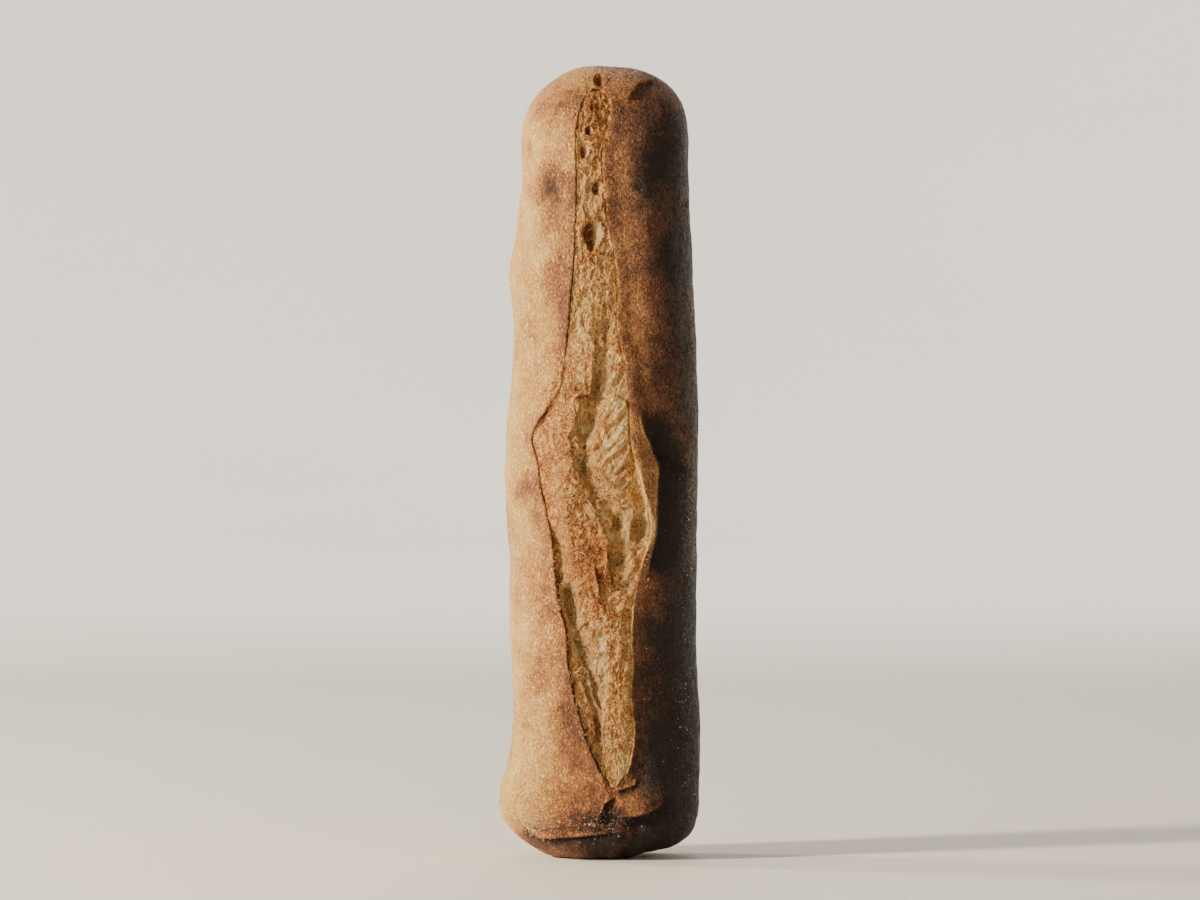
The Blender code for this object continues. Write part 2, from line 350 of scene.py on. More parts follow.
@dataclass(frozen=True)
class Line:
    """A length by height along the loaf, as millimetres, on a smooth curve through its points."""

    points: tuple[tuple[float, float], ...]

    def at(self, heights: np.ndarray) -> np.ndarray:
        """Reads the line.

        Args:
            heights: The height of each place, in metres.

        Returns:
            The value there, in metres.
        """
        x, y = MM * np.array(sorted(self.points)).T
        slopes = np.empty_like(y)
        slopes[1:-1] = (y[2:] - y[:-2]) / (x[2:] - x[:-2])
        slopes[0] = (y[1] - y[0]) / (x[1] - x[0])
        slopes[-1] = (y[-1] - y[-2]) / (x[-1] - x[-2])
        clipped = np.clip(heights, x[0], x[-1])
        i = np.clip(np.searchsorted(x, clipped, side="right") - 1, 0, len(x) - 2)
        span = x[i + 1] - x[i]
        t = (clipped - x[i]) / span
        pull = (t**3 - 2 * t**2 + t) * slopes[i] + (t**3 - t**2) * slopes[i + 1]
        return (2 * t**3 - 3 * t**2 + 1) * y[i] + (3 * t**2 - 2 * t**3) * y[i + 1] + span * pull


def wander(heights: np.ndarray, size: float, seed: float) -> np.ndarray:
    """Draws a random value that drifts with height alone.

    Args:
        heights: The height of each place, in metres.
        size: Over how many metres the value changes.
        seed: Another number gives another drift.

    Returns:
        The value, from about -1 to 1.
    """
    steps = np.arange(0, PAST_TOP, 0.25 * MM)
    values = perlin(np.stack([0 * steps, 0 * steps, steps], axis=1), size, seed)
    return np.interp(heights, steps, values)


@dataclass(frozen=True)
class Fold:
    """A crease along (offset, height) places in millimetres, its right side tucked under its left.

    deep is how far the tucked side drops beside the line and wide how soon it comes back, rise the rim on the
    other side, in millimetres, and dark how much painted shade darkens the tucked side, with a weaker painted
    highlight on the rim.
    """

    path: tuple[tuple[float, float], ...]
    deep: float
    wide: float
    rise: float = 0.3
    dark: float = 0.2

    def beside(self, heights: np.ndarray, offsets: np.ndarray) -> tuple[np.ndarray, np.ndarray]:
        """Measures each place against the fold.

        Args:
            heights: The height of each place, in metres.
            offsets: How far right of the axis it is, in metres.

        Returns:
            How far right of the line it is, in millimetres, and how strong the fold is there, from 0 to 1.
        """
        path = np.array(self.path)
        runs = np.hypot(*np.diff(path, axis=0).T)
        nearest, side, share = np.full(heights.shape, 1e9), np.zeros(heights.shape), np.zeros(heights.shape)
        for i, run in enumerate(runs):
            way = (path[i + 1] - path[i]) / run
            across, up = offsets / MM - path[i, 0], heights / MM - path[i, 1]
            along = np.clip(across * way[0] + up * way[1], 0, run)
            away = np.hypot(across - along * way[0], up - along * way[1])
            closer = away < nearest
            nearest = np.where(closer, away, nearest)
            side = np.where(closer, np.sign(across * way[1] - up * way[0]), side)
            share = np.where(closer, (runs[:i].sum() + along) / runs.sum(), share)
        return nearest * side, smooth(-0.02, 0.2, share) * (1 - smooth(0.8, 1.02, share))

    def lift(self, heights: np.ndarray, offsets: np.ndarray) -> np.ndarray:
        """Works out how far the fold moves the surface.

        Args:
            heights: The height of each place, in metres.
            offsets: How far right of the axis it is, in metres.

        Returns:
            The way outwards, in millimetres.
        """
        away, strength = self.beside(heights, offsets)
        drop = self.deep * smooth(-0.35, 0.35, away) * np.exp(-np.clip(away, 0, None) / self.wide)
        return strength * (self.rise * peak(away, 0, 0.6 * self.wide) * (away < 0.35) - drop)

    def shade(self, heights: np.ndarray, offsets: np.ndarray) -> np.ndarray:
        """Works out the fold's own shade.

        Args:
            heights: The height of each place, in metres.
            offsets: How far right of the axis it is, in metres.

        Returns:
            What the fold's painted shade adds to how baked the place is, less than 0 for the painted
            highlight on its rim.
        """
        away, strength = self.beside(heights, offsets)
        tucked = smooth(-0.4, 0.4, away) * np.exp(-np.clip(away, 0, None) / self.wide)
        return strength * self.dark * (tucked - 0.4 * peak(away, -0.9, 0.8))


@dataclass(frozen=True)
class Spot:
    """A soft-edged oval on the front, in millimetres: how strong it is, and by how many degrees it leans."""

    height: float
    offset: float
    tall: float
    wide: float
    strength: float = 1.0
    lean: float = 0.0

    def distance(self, heights: np.ndarray, offsets: np.ndarray) -> np.ndarray:
        """Measures each place against the oval.

        Args:
            heights: The height of each place, in metres.
            offsets: How far right of the axis it is, in metres.

        Returns:
            0 in the middle and 1 at the oval's edge.
        """
        turn = math.radians(self.lean)
        up, across = heights / MM - self.height, offsets / MM - self.offset
        lengthways = up * math.cos(turn) + across * math.sin(turn)
        sideways = across * math.cos(turn) - up * math.sin(turn)
        return np.hypot(lengthways / self.tall, sideways / self.wide)

    def soft(self, heights: np.ndarray, offsets: np.ndarray) -> np.ndarray:
        """Its strength, which fades out from the middle."""
        return self.strength * np.exp(-self.distance(heights, offsets) ** 2)

    def bowl(self, heights: np.ndarray, offsets: np.ndarray) -> np.ndarray:
        """Its strength as the depth of a round-bottomed bowl with a clear edge."""
        return self.strength * np.sqrt(np.clip(1 - self.distance(heights, offsets) ** 2, 0, 1))


def spots(*rows: tuple[float, ...]) -> tuple[Spot, ...]:
    """Spots from rows of their numbers."""
    return tuple(Spot(*row) for row in rows)


def total(marks: Sequence[Spot], heights: np.ndarray, offsets: np.ndarray) -> np.ndarray:
    """The soft strengths of all the spots together."""
    return sum((mark.soft(heights, offsets) for mark in marks), np.zeros_like(heights))


# Finishes


@dataclass(frozen=True)
class BakedCrust:
    """Wheat crust baked on a stone floor: sugars browned from straw to char, dull, with a fine floury grain.

    The grain is what steam and flour leave on a crust, about a millimetre across, and makes it glint a
    little where the light rakes it. Its flecks are also painted paler into the colour, partly as painted
    glints, most on the paler crust of the lit side. The patches come from the attributes of the mesh.
    """

    tones: tuple[tuple[float, str], ...] = (
        (0.0, "FFE798"),
        (0.2, "F0C068"),
        (0.42, "D29452"),
        (0.6, "A26540"),
        (0.78, "6B442D"),
        (1.0, "261912"),
    )
    flour: str = "F1E6D2"
    mottle_size: float = 6 * MM
    curl_size: float = 1.9 * MM
    grain_size: float = 0.75 * MM
    bump_depth: float = 1.8 * MM

    def material(self) -> bpy.types.Material:
        """Builds the material from its tones and sizes.

        Returns:
            The crust's material.
        """
        material, tree, shader = new_material("baked_wheat_crust")
        spot = (add_node(tree, "TexCoord"), "Object")
        drawn = (add_node(tree, "Mapping", {"Vector": spot, "Scale": (1.0, 1.0, 0.7)}), 0)
        patchy = {"Vector": spot, "Scale": 1 / self.mottle_size, "Detail": 3.0}
        curly = {"Vector": drawn, "Scale": 1 / self.curl_size, "Detail": 1.0, "Distortion": 1.6}
        grainy = {"Vector": drawn, "Scale": 1 / self.grain_size, "Detail": 1.0, "Distortion": 0.6}
        mottle = (add_node(tree, "TexNoise", patchy), "Fac")
        curl_noise = add_node(tree, "TexNoise", curly)
        grain_noise = add_node(tree, "TexNoise", grainy)
        curl_spread = {"Value": (curl_noise, "Fac"), "From Min": 0.36, "From Max": 0.64}
        grain_spread = {"Value": (grain_noise, "Fac"), "From Min": 0.47, "From Max": 0.68}
        curls = (add_node(tree, "MapRange", curl_spread), "Result")
        grain = (add_node(tree, "MapRange", grain_spread), "Result")
        flecks = crests(tree, (curl_noise, "Fac"), 0.05)
        hairs = crests(tree, (grain_noise, "Fac"), 0.055)
        bake = add_node(tree, "Attribute", attribute_name=Attribute.BAKE.value)
        dust = add_node(tree, "Attribute", attribute_name=Attribute.FLOUR.value)
        # pale grain flecks in the colour: partly the grain's own colour, partly painted glints, strongest on
        # paler crust
        pale_grain_and_glints = weighted_sum(tree, [(grain, -0.3), (flecks, -0.14), (hairs, -0.12)])
        paler = {"Value": (bake, "Fac"), "From Min": 0.35, "To Min": 1.35, "To Max": 0.5}
        faded = add_node(tree, "MapRange", paler)
        softened = add_node(tree, "Math", {0: pale_grain_and_glints, 1: (faded, "Result")}, operation="MULTIPLY")
        layers = [((bake, "Fac"), 1.0), (mottle, 0.16), (curls, 0.1), ((softened, 0), 1.0)]
        browning = weighted_sum(tree, layers)
        centred = add_node(tree, "Math", {0: browning, 1: -0.05}, operation="SUBTRACT", use_clamp=True)
        tone = add_node(tree, "ValToRGB", {"Fac": (centred, 0)}, self.tones)
        floury = weighted_sum(tree, [((dust, "Fac"), 0.8), (grain, 0.6), (curls, 0.2)])
        dusted = {"Value": floury, "From Min": 0.9, "From Max": 1.45, "To Max": 0.55}
        cover = add_node(tree, "MapRange", dusted)
        both = {0: (cover, "Result"), 6: (tone, "Color"), 7: linear(self.flour)}
        coloured = add_node(tree, "Mix", both, data_type="RGBA")
        heaps = [(curls, 0.26), (grain, 0.26), (mottle, 0.8), (flecks, 0.2), (hairs, 0.16)]
        relief = weighted_sum(tree, heaps)
        bump = add_node(tree, "Bump", {"Height": relief, "Strength": 1.0, "Distance": self.bump_depth})
        dulled = add_node(tree, "MapRange", {"Value": curls, "To Min": 0.38, "To Max": 0.7})
        tree.links.new(coloured.outputs[2], shader.inputs["Base Color"])
        tree.links.new(bump.outputs["Normal"], shader.inputs["Normal"])
        tree.links.new(dulled.outputs["Result"], shader.inputs["Roughness"])
        shader.inputs["IOR"].default_value = 1.45
        shader.inputs["Specular IOR Level"].default_value = 0.35
        return material


@dataclass(frozen=True)
class TornCrumb:
    """Open wheat crumb, torn as the loaf rose: cream where it is thick, olive where a bubble's wall is thin.

    Its crests have browned, its hollows have set to a faintly glossy gel, whose olive is laid on deeper in
    the dips partly as painted shade, and light goes a few millimetres in.
    """

    tones: tuple[tuple[float, str], ...] = (
        (0.0, "FFE6AE"),
        (0.25, "F4CA86"),
        (0.5, "DE9C55"),
        (0.75, "B26A37"),
        (1.0, "6E3B1E"),
    )
    hollow_tones: tuple[tuple[float, str], ...] = ((0.0, "604832"), (0.5, "AC8660"), (1.0, "E4C69A"))
    mottle_size: float = 4.5 * MM
    fibre_size: float = 1.3 * MM
    pore_size: float = 0.85 * MM
    bump_depth: float = 1.2 * MM
    scatter: float = 0.8 * MM

    def material(self) -> bpy.types.Material:
        """Builds the material from its tones and sizes.

        Returns:
            The crumb's material.
        """
        material, tree, shader = new_material("torn_wheat_crumb")
        spot = (add_node(tree, "TexCoord"), "Object")
        drawn_out = {"Vector": spot, "Rotation": (0, math.radians(35), 0), "Scale": (1, 1, 0.45)}
        turned = add_node(tree, "Mapping", drawn_out)
        patchy = {"Vector": spot, "Scale": 1 / self.mottle_size, "Detail": 3.0}
        fibrous = {"Vector": (turned, 0), "Scale": 1 / self.fibre_size, "Detail": 1.5, "Distortion": 1.8}
        porous = {"Vector": spot, "Scale": 1 / self.pore_size, "Detail": 1.0, "Distortion": 0.8}
        mottle = add_node(tree, "TexNoise", patchy)
        fibre_noise = add_node(tree, "TexNoise", fibrous)
        pore_noise = add_node(tree, "TexNoise", porous)
        fibre_spread = {"Value": (fibre_noise, "Fac"), "From Min": 0.36, "From Max": 0.64}
        pore_spread = {"Value": (pore_noise, "Fac"), "From Min": 0.36, "From Max": 0.64}
        fibres = (add_node(tree, "MapRange", fibre_spread), "Result")
        pores = (add_node(tree, "MapRange", pore_spread), "Result")
        threads, hairs = crests(tree, (fibre_noise, "Fac"), 0.045), crests(tree, (pore_noise, "Fac"), 0.05)
        toast = add_node(tree, "Attribute", attribute_name=Attribute.TOAST.value)
        hollow = add_node(tree, "Attribute", attribute_name=Attribute.HOLLOW.value)
        layers = [((toast, "Fac"), 1.0), ((mottle, "Fac"), 0.55), (fibres, 0.26)]
        layers += [(pores, -0.36), (threads, 0.2), (hairs, -0.14)]
        browning = weighted_sum(tree, layers)
        centred = add_node(tree, "Math", {0: browning, 1: 0.25}, operation="SUBTRACT", use_clamp=True)
        tone = add_node(tree, "ValToRGB", {"Fac": (centred, 0)}, self.tones)
        film = weighted_sum(tree, [(pores, 0.7), (hairs, 0.45), (threads, -0.3)])
        gel = add_node(tree, "ValToRGB", {"Fac": film}, self.hollow_tones)
        both = {0: (hollow, "Fac"), 6: (tone, "Color"), 7: (gel, "Color")}
        coloured = add_node(tree, "Mix", both, data_type="RGBA")
        relief = weighted_sum(tree, [(fibres, 0.46), (pores, 0.38), (threads, 0.26), (hairs, 0.2)])
        bump = add_node(tree, "Bump", {"Height": relief, "Strength": 1.0, "Distance": self.bump_depth})
        gloss = add_node(tree, "MapRange", {"Value": (hollow, "Fac"), "To Min": 0.6, "To Max": 0.4})
        tree.links.new(coloured.outputs[2], shader.inputs["Base Color"])
        tree.links.new(bump.outputs["Normal"], shader.inputs["Normal"])
        tree.links.new(gloss.outputs["Result"], shader.inputs["Roughness"])
        shader.inputs["IOR"].default_value = 1.45
        shader.inputs["Specular IOR Level"].default_value = 0.4
        shader.inputs["Subsurface Weight"].default_value = 0.03
        shader.inputs["Subsurface Radius"].default_value = (1.0, 0.55, 0.25)
        shader.inputs["Subsurface Scale"].default_value = self.scatter
        return material


@dataclass(frozen=True)
class Gluten:
    """Strands of gluten, drawn out by bursting bubbles and dried in the oven: amber and slightly glossy."""

    colours: tuple[tuple[float, str], ...] = ((0.3, "C98F4C"), (0.5, "E3B571"), (0.7, "F3D59C"))
    patch_size: float = 3 * MM

    def material(self) -> bpy.types.Material:
        """Builds the material from its colours.

        Returns:
            The strands' material.
        """
        material, tree, shader = new_material("dried_gluten")
        place = add_node(tree, "TexCoord")
        patchy = {"Vector": (place, "Object"), "Scale": 1 / self.patch_size, "Detail": 2.0}
        patches = add_node(tree, "TexNoise", patchy)
        tone = add_node(tree, "ValToRGB", {"Fac": (patches, "Fac")}, self.colours)
        tree.links.new(tone.outputs["Color"], shader.inputs["Base Color"])
        shader.inputs["Roughness"].default_value = 0.45
        shader.inputs["Subsurface Weight"].default_value = 0.3
        shader.inputs["Subsurface Radius"].default_value = (1.0, 0.6, 0.3)
        shader.inputs["Subsurface Scale"].default_value = 0.6 * MM
        return material


@dataclass(frozen=True)
class Flour:
    """Wheat flour and semolina from the peel: off-white grains with no shine."""

    colours: tuple[tuple[float, str], ...] = ((0.35, "E6D2AC"), (0.65, "FAF4E6"))
    patch_size: float = 2 * MM

    def material(self) -> bpy.types.Material:
        """Builds the material from its colours.

        Returns:
            The grains' material.
        """
        material, tree, shader = new_material("wheat_flour")
        place = add_node(tree, "TexCoord")
        patches = add_node(tree, "TexNoise", {"Vector": (place, "Object"), "Scale": 1 / self.patch_size})
        tone = add_node(tree, "ValToRGB", {"Fac": (patches, "Fac")}, self.colours)
        tree.links.new(tone.outputs["Color"], shader.inputs["Base Color"])
        shader.inputs["Roughness"].default_value = 0.9
        return material


@dataclass(frozen=True)
class PalePaper:
    """Matt studio paper: off-white, with a faint cloudiness and no shine."""

    colours: tuple[tuple[float, str], ...] = ((0.3, "EDE9E2"), (0.7, "F1EEE8"))
    cloud_size: float = 0.6

    def material(self) -> bpy.types.Material:
        """Builds the material from its colours.

        Returns:
            The paper's material.
        """
        material, tree, shader = new_material("studio_paper")
        place = add_node(tree, "TexCoord")
        cloudy = {"Vector": (place, "Object"), "Scale": 1 / self.cloud_size, "Detail": 3.0}
        clouds = add_node(tree, "TexNoise", cloudy)
        tone = add_node(tree, "ValToRGB", {"Fac": (clouds, "Fac")}, self.colours)
        tree.links.new(tone.outputs["Color"], shader.inputs["Base Color"])
        shader.inputs["Roughness"].default_value = 0.85
        return material


# The loaf


@dataclass(frozen=True)
class Slash:
    """Where the slash runs: its two lips, and the torn edge of the skin that half crusted over inside it."""

    foot: float = 31.5 * MM
    top: float = 349.6 * MM
    left: Line = Line(
        ((0, -9), (20, -3), (31, 2.8), (35, 2.6), (46, -2.2), (58, -7), (72, -10.8), (85, -13.4),
         (105, -15.6), (124, -19.3), (142, -21.4), (159, -24.2), (169, -26.6), (182, -28.4),
         (190, -30.6), (196, -30),
         (201, -26.5), (208, -21.8), (214, -18.2), (233, -15.1), (255, -13.2), (275, -11.5), (297, -10.7),
         (330, -10.8), (338, -9.6), (348, -6), (355, -8), (360, -8))
    )  # fmt: skip
    right: Line = Line(
        ((0, 20), (20, 14), (31, 9.2), (36, 9.6), (41, 11.5), (48, 13.5), (58, 14.8), (70, 13.8), (78, 13.1),
         (88, 14), (101, 13.4), (112, 14), (123, 15.2), (138, 19.2), (148, 22.4), (155, 22.6), (166, 19.8),
         (178, 16.9), (184, 14.6), (192, 13.4), (208, 12.9), (220, 12), (231, 9.4), (244, 6.6), (255, 7.6),
         (275, 5.9), (285, 4.1), (295, 1.5), (302, 2.9), (308, 0.7), (324, 0.9), (337, 4.4), (344, 4),
         (348, 2.4), (355, 6), (360, 8))
    )  # fmt: skip
    skin_edge: Line = Line(
        ((120, 3), (128.6, 3.5), (136.8, 3.6), (146.8, 3.4), (155, -0.6), (165, -4.8), (171.8, -5.7),
         (178.6, -11), (188.6, -13.3), (194.5, -12.9), (201.4, -11), (205.9, -8.8), (211.8, -4.4),
         (229.5, -2.9), (240, -3))
    )  # fmt: skip
    ear_reach: Line = Line(
        ((0, 5), (122, 5), (135, 4), (141, 3.6), (148, 3), (155, 3.2), (163, 5), (171, 7.6), (181, 10.2),
         (187, 9.4), (194, 7.2), (201, 5.5), (208, 5), (360, 5))
    )  # fmt: skip

    def lips(self, heights: np.ndarray) -> tuple[np.ndarray, np.ndarray]:
        """Finds both lips, which meet in a point below and in a blunt arch above.

        Args:
            heights: The height of each place, in metres.

        Returns:
            The offsets of the left and of the right lip, in metres.
        """
        raggedness = MM * (0.35 + 0.4 * (1 - smooth(120 * MM, 150 * MM, heights)))
        left_waver = wander(heights, 5 * MM, 1.3) + 0.7 * wander(heights, 1.7 * MM, 2.7)
        right_waver = wander(heights, 6 * MM, 4.1) + 0.7 * wander(heights, 1.9 * MM, 5.9)
        left = self.left.at(heights) + raggedness * left_waver
        right = self.right.at(heights) + 0.3 * MM * right_waver
        point = np.clip((heights - self.foot) / (9 * MM), 0, 1) ** 0.75
        arch = np.sqrt(np.clip(1 - np.clip(1 - (self.top - heights) / (5 * MM), 0, 1) ** 2, 0, 1))
        middle, half = (left + right) / 2, (right - left) / 2 * np.minimum(point, arch)
        return middle - half, middle + half

    def inside(self, heights: np.ndarray, offsets: np.ndarray) -> np.ndarray:
        """Measures how far inside the slash each place is.

        Args:
            heights: The height of each place, in metres.
            offsets: How far right of the axis it is, in metres.

        Returns:
            The way to the nearer lip or end, in metres, negative outside the slash.
        """
        left, right = self.lips(heights)
        ends = np.minimum(heights - self.foot, self.top - heights)
        return np.minimum(np.minimum(offsets - left, right - offsets), ends)

    def is_bare(self) -> Callable[[float, float], bool]:
        """Makes a quick test of whether a place lies well inside both lips.

        Returns:
            A test that takes a height and an offset, in millimetres.
        """
        steps, clear = np.arange(0, PAST_TOP, 0.5 * MM), 0.6 * MM
        left, right = self.lips(steps)

        def test(height: float, offset: float) -> bool:
            """Whether this place does."""
            low, high = (np.interp(height * MM, steps, lip) for lip in (left, right))
            return low + clear < offset * MM < high - clear

        return test

    def torn(self, heights: np.ndarray) -> np.ndarray:
        """1 at the heights where the left lip stands open, and 0 elsewhere."""
        ends = smooth(0, 12 * MM, heights - self.foot) * smooth(3 * MM, 9 * MM, self.top - heights)
        return ends * (1 - self.healed(heights))

    def healed(self, heights: np.ndarray) -> np.ndarray:
        """1 where the left lip has closed and the skin runs on into the crust, and 0 elsewhere."""
        return stretch_of(heights, (205, 210), (223, 229))


@dataclass(frozen=True)
class Bubble:
    """A burst bubble in the crumb: an oval hole in millimetres, pointed downwards by some share."""

    height: float
    offset: float
    tall: float
    wide: float
    deep: float
    lean: float = 0.0
    point: float = 0.0

    def distance(self, heights: np.ndarray, offsets: np.ndarray) -> np.ndarray:
        """Measures each place against the hole.

        Args:
            heights: The height of each place, in metres.
            offsets: How far right of the axis it is, in metres.

        Returns:
            0 in the middle and 1 at the hole's rim.
        """
        turn = math.radians(self.lean)
        up, across = heights / MM - self.height, offsets / MM - self.offset
        lengthways = (up * math.cos(turn) + across * math.sin(turn)) / self.tall
        sideways = (across * math.cos(turn) - up * math.sin(turn)) / self.wide
        narrowed = 1 - self.point * np.clip(0.1 - lengthways, 0, 1)
        return np.hypot(lengthways, sideways / np.clip(narrowed, 0.15, 1))

    def cut(self, heights: np.ndarray, offsets: np.ndarray) -> np.ndarray:
        """How deep the hole is, in millimetres: deepest on its left, rising to its right wall."""
        bowl = np.clip(1 - self.distance(heights, offsets) ** 2.4, 0, 1) ** 0.6
        return self.deep * bowl * (0.5 - 0.5 * self.sideways(offsets))

    def sideways(self, offsets: np.ndarray) -> np.ndarray:
        """How far across the hole each place is, from -1 at its left rim to 1 at its right."""
        return np.clip((offsets / MM - self.offset) / self.wide, -1, 1)


@dataclass(frozen=True)
class CrustShell:
    """The baked crust all round the loaf, with its patches, wrinkles and blisters.

    around says how baked the crust is by the angle from the front, in degrees; its darker values towards the
    right are partly painted shade, where the crust turns from the light. browned and floured are patches on
    the front, a few browned ones painted shade, dents its dimples and folds its creases. floor_drop is how
    far it drops away under the crumb, and pinhole the small hole above the slash.
    """

    slash: Slash
    finish: BakedCrust
    floor_drop: float = 11 * MM
    most_triangles: int = 194_000
    pinhole: Bubble = Bubble(352.9, -0.3, 3.0, 2.8, 4.8, 25, 0.0)
    # by angle, partly real baking and partly painted shade that darkens the right side
    around: tuple[tuple[float, float], ...] = (
        (-180, 0.58), (-150, 0.52), (-120, 0.4), (-95, 0.23), (-60, 0.23), (-30, 0.32), (-8, 0.43),
        (12, 0.54), (25, 0.62), (40, 0.78), (60, 0.87), (95, 0.86), (130, 0.68), (180, 0.58),
    )  # fmt: skip
    browned: tuple[Spot, ...] = spots(
        (311, -21.8, 9, 6.5, 0.3), (303, -21.4, 9, 7, 0.25), (290, -22, 9, 6, 0.12),
        (266, -19.7, 13, 6, 0.18), (167, -33.8, 7, 5.5, 0.18),
        (119, -24.7, 14, 9, 0.17), (92, -28, 10, 10, 0.12), (66, -17, 12, 8, 0.05), (343, -18, 7, 12, 0.2),
        (323, -30, 5, 1.6, 0.22, 25), (240, -18, 20, 4, 0.12), (326, -27, 7, 5, -0.12),
        (318, 27, 11, 10, 0.24), (304, 19, 9, 6, 0.22), (276, 30, 17, 9, 0.1), (254, 24, 10, 6, -0.06),
        (122, 23, 13, 9, -0.12), (44, 37, 8, 6, 0.12), (339, 22, 7, 8, 0.12), (352, 2, 8, 12, -0.06),
        # the wide spot at the foot is painted shade
        (19, -9, 9, 24, 0.36), (47, -12, 10, 10, 0.1),
        # the thin leaning spot at (202, -25.6) is painted shade in the left lip's crevice
        (338, -27, 12, 10, 0.09), (202, -25.6, 6.5, 0.8, 0.5, 30), (23, 22, 9, 12, -0.13),
        (9, 14, 5, 14, -0.12), (5, -16, 4.5, 13, -0.12),
    )  # fmt: skip
    floured: tuple[Spot, ...] = spots(
        (16, -30, 7, 10, 0.8), (17, 1, 4, 9, 0.5), (145, 42, 24, 5, 0.4), (359, 4, 4, 14, 0.5),
        (200, -40, 60, 6, 0.2), (80, -38, 30, 5, 0.25), (60, 36, 40, 6, 0.15), (250, 43, 60, 3, 0.3),
    )  # fmt: skip
    dents: tuple[Spot, ...] = spots(
        (197, -30, 2, 2, 1.1), (280, -17.5, 1.2, 1.5, 0.3), (323, -30, 5, 1.4, 0.35, 25),
        (341, -14, 5, 4, 0.3), (304, 16, 12, 7, 0.6), (336, 21, 7, 7, 0.9), (214, -17.4, 6.5, 0.7, 0.5),
        (58, 26, 16, 10, 0.4),
    )  # fmt: skip
    folds: tuple[Fold, ...] = (
        Fold(
            ((-37, 19.5), (-34.5, 15), (-28, 9.6), (-14, 10.6), (-1, 12), (6, 13.2), (10.5, 12.5)),
            1.4, 4.5, 0.5, 0.3,
        ),  # fmt: skip
        Fold(((9, 20.4), (15, 20.6), (21.7, 21.8), (27.6, 25.2), (29.2, 32)), 2.2, 5.0, 1.0, 0.34),
        Fold(((6.4, 31.6), (9.0, 32.6), (15.4, 34.6), (16.4, 37.0), (15.2, 38.6)), 0.8, 1.8, 0.5, 0.3),
        Fold(((-1.4, 17.5), (0.6, 22.5), (1.9, 26.4), (7, 30)), 1.0, 3.4, 0.4, 0.28),
        Fold(((21, 190), (27, 183.5), (35.8, 178.8), (43.5, 176.6)), 0.7, 3.0, 0.4, 0.12),
        Fold(((12.4, 343), (14, 347.5), (17.4, 351.6), (24.5, 353)), 1.2, 5.0, 0.5, 0.2),
        Fold(((-27.5, 332.5), (-31, 328), (-31.8, 320)), 0.35, 1.5, 0.2, 0.16),
        Fold(((-17.5, 225), (-18.4, 219), (-18.3, 211)), 0.35, 1.2, 0.15, 0.2),
        Fold(((-25, 341), (-17, 343.5), (-12, 339.5), (-15, 336)), 0.35, 1.6, 0.3, 0.12),
        Fold(((-20, 347), (-10, 349), (-5, 345)), 0.3, 1.6, 0.25, 0.1),
        Fold(((-26, 334), (-20, 336), (-14, 332.5)), 0.3, 1.4, 0.25, 0.1),
    )

    def build(self) -> bpy.types.Object:
        """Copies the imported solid, merges it and gives it finer faces.

        Returns:
            The crust's object, still as smooth as the solid.
        """
        node = FRAME["nodes"]["loaf"]
        shell = bpy.data.objects.new("crust", node.data.copy())
        bpy.context.scene.collection.objects.link(shell)
        shell.data.materials.clear()
        select_only(shell)
        bpy.ops.object.mode_set(mode="EDIT")
        bpy.ops.mesh.select_all(action="SELECT")
        bpy.ops.mesh.remove_doubles(threshold=0.01 * MM)
        bpy.ops.mesh.tris_convert_to_quads(face_threshold=math.radians(60), shape_threshold=math.radians(70))
        bpy.ops.object.mode_set(mode="OBJECT")
        apply_modifier(shell, "SUBSURF", levels=2, render_levels=2)
        self.thin(shell, places(shell)[:, 1] - AXIS.y > 8 * MM, 0.4)
        self.fill_pinhole(shell)
        self.refine(shell)
        return shell

    @staticmethod
    def thin(shell: bpy.types.Object, chosen: np.ndarray, keep: float) -> None:
        """Leaves only some of the faces about the chosen vertices, and all the others.

        Args:
            shell: The crust.
            chosen: For each vertex, whether its faces may go.
            keep: The share of them that stays.
        """
        group = shell.vertex_groups.new(name="thinned")
        group.add(np.flatnonzero(chosen).tolist(), 1.0, "REPLACE")
        apply_modifier(shell, "DECIMATE", ratio=1 - (1 - keep) * chosen.mean(), vertex_group="thinned")
        shell.vertex_groups.remove(shell.vertex_groups["thinned"])

    def lighten(self, shell: bpy.types.Object) -> None:
        """Brings the crust under most_triangles: first where the crumb hides it, then all over.

        Args:
            shell: The crust.
        """
        heights, offsets, front = self.front_places(places(shell))
        self.thin(shell, (self.slash.inside(heights, offsets) > 3.4 * MM) & (front > 0), 0.1)
        everywhere = np.ones(len(shell.data.vertices), bool)
        self.thin(shell, everywhere, min(1, self.most_triangles / triangles(shell)))
        move_to(shell, boxed(places(shell)))

    def refine(self, shell: bpy.types.Object) -> None:
        """Splits the faces beside the lips, the ear and the folds, so that their edges can be sharp.

        Args:
            shell: The crust.
        """
        heights, offsets, front = self.front_places(places(shell))
        left, right = self.slash.lips(heights)
        beside = (np.abs(offsets - left) < 2.4 * MM) | (np.abs(offsets - right - 0.6 * MM) < 2.6 * MM)
        beside &= (heights > self.slash.foot - 4 * MM) & (heights < self.slash.top + 4 * MM)
        past_ear = (offsets - right - self.slash.ear_reach.at(heights)) / MM
        beside |= (np.abs(past_ear) < 2.2) & (self.beside_ear(heights) > 0.05)
        beside |= self.pinhole.distance(heights, offsets) < 1.9
        for fold in self.folds:
            away, strength = fold.beside(heights, offsets)
            beside |= (np.abs(away) < 2.0) & (strength > 0.05)
        self.select_vertices(shell, beside & (front > 0))
        bpy.ops.mesh.subdivide(number_cuts=1, ngon=False, quadcorner="INNERVERT")
        bpy.ops.object.mode_set(mode="OBJECT")

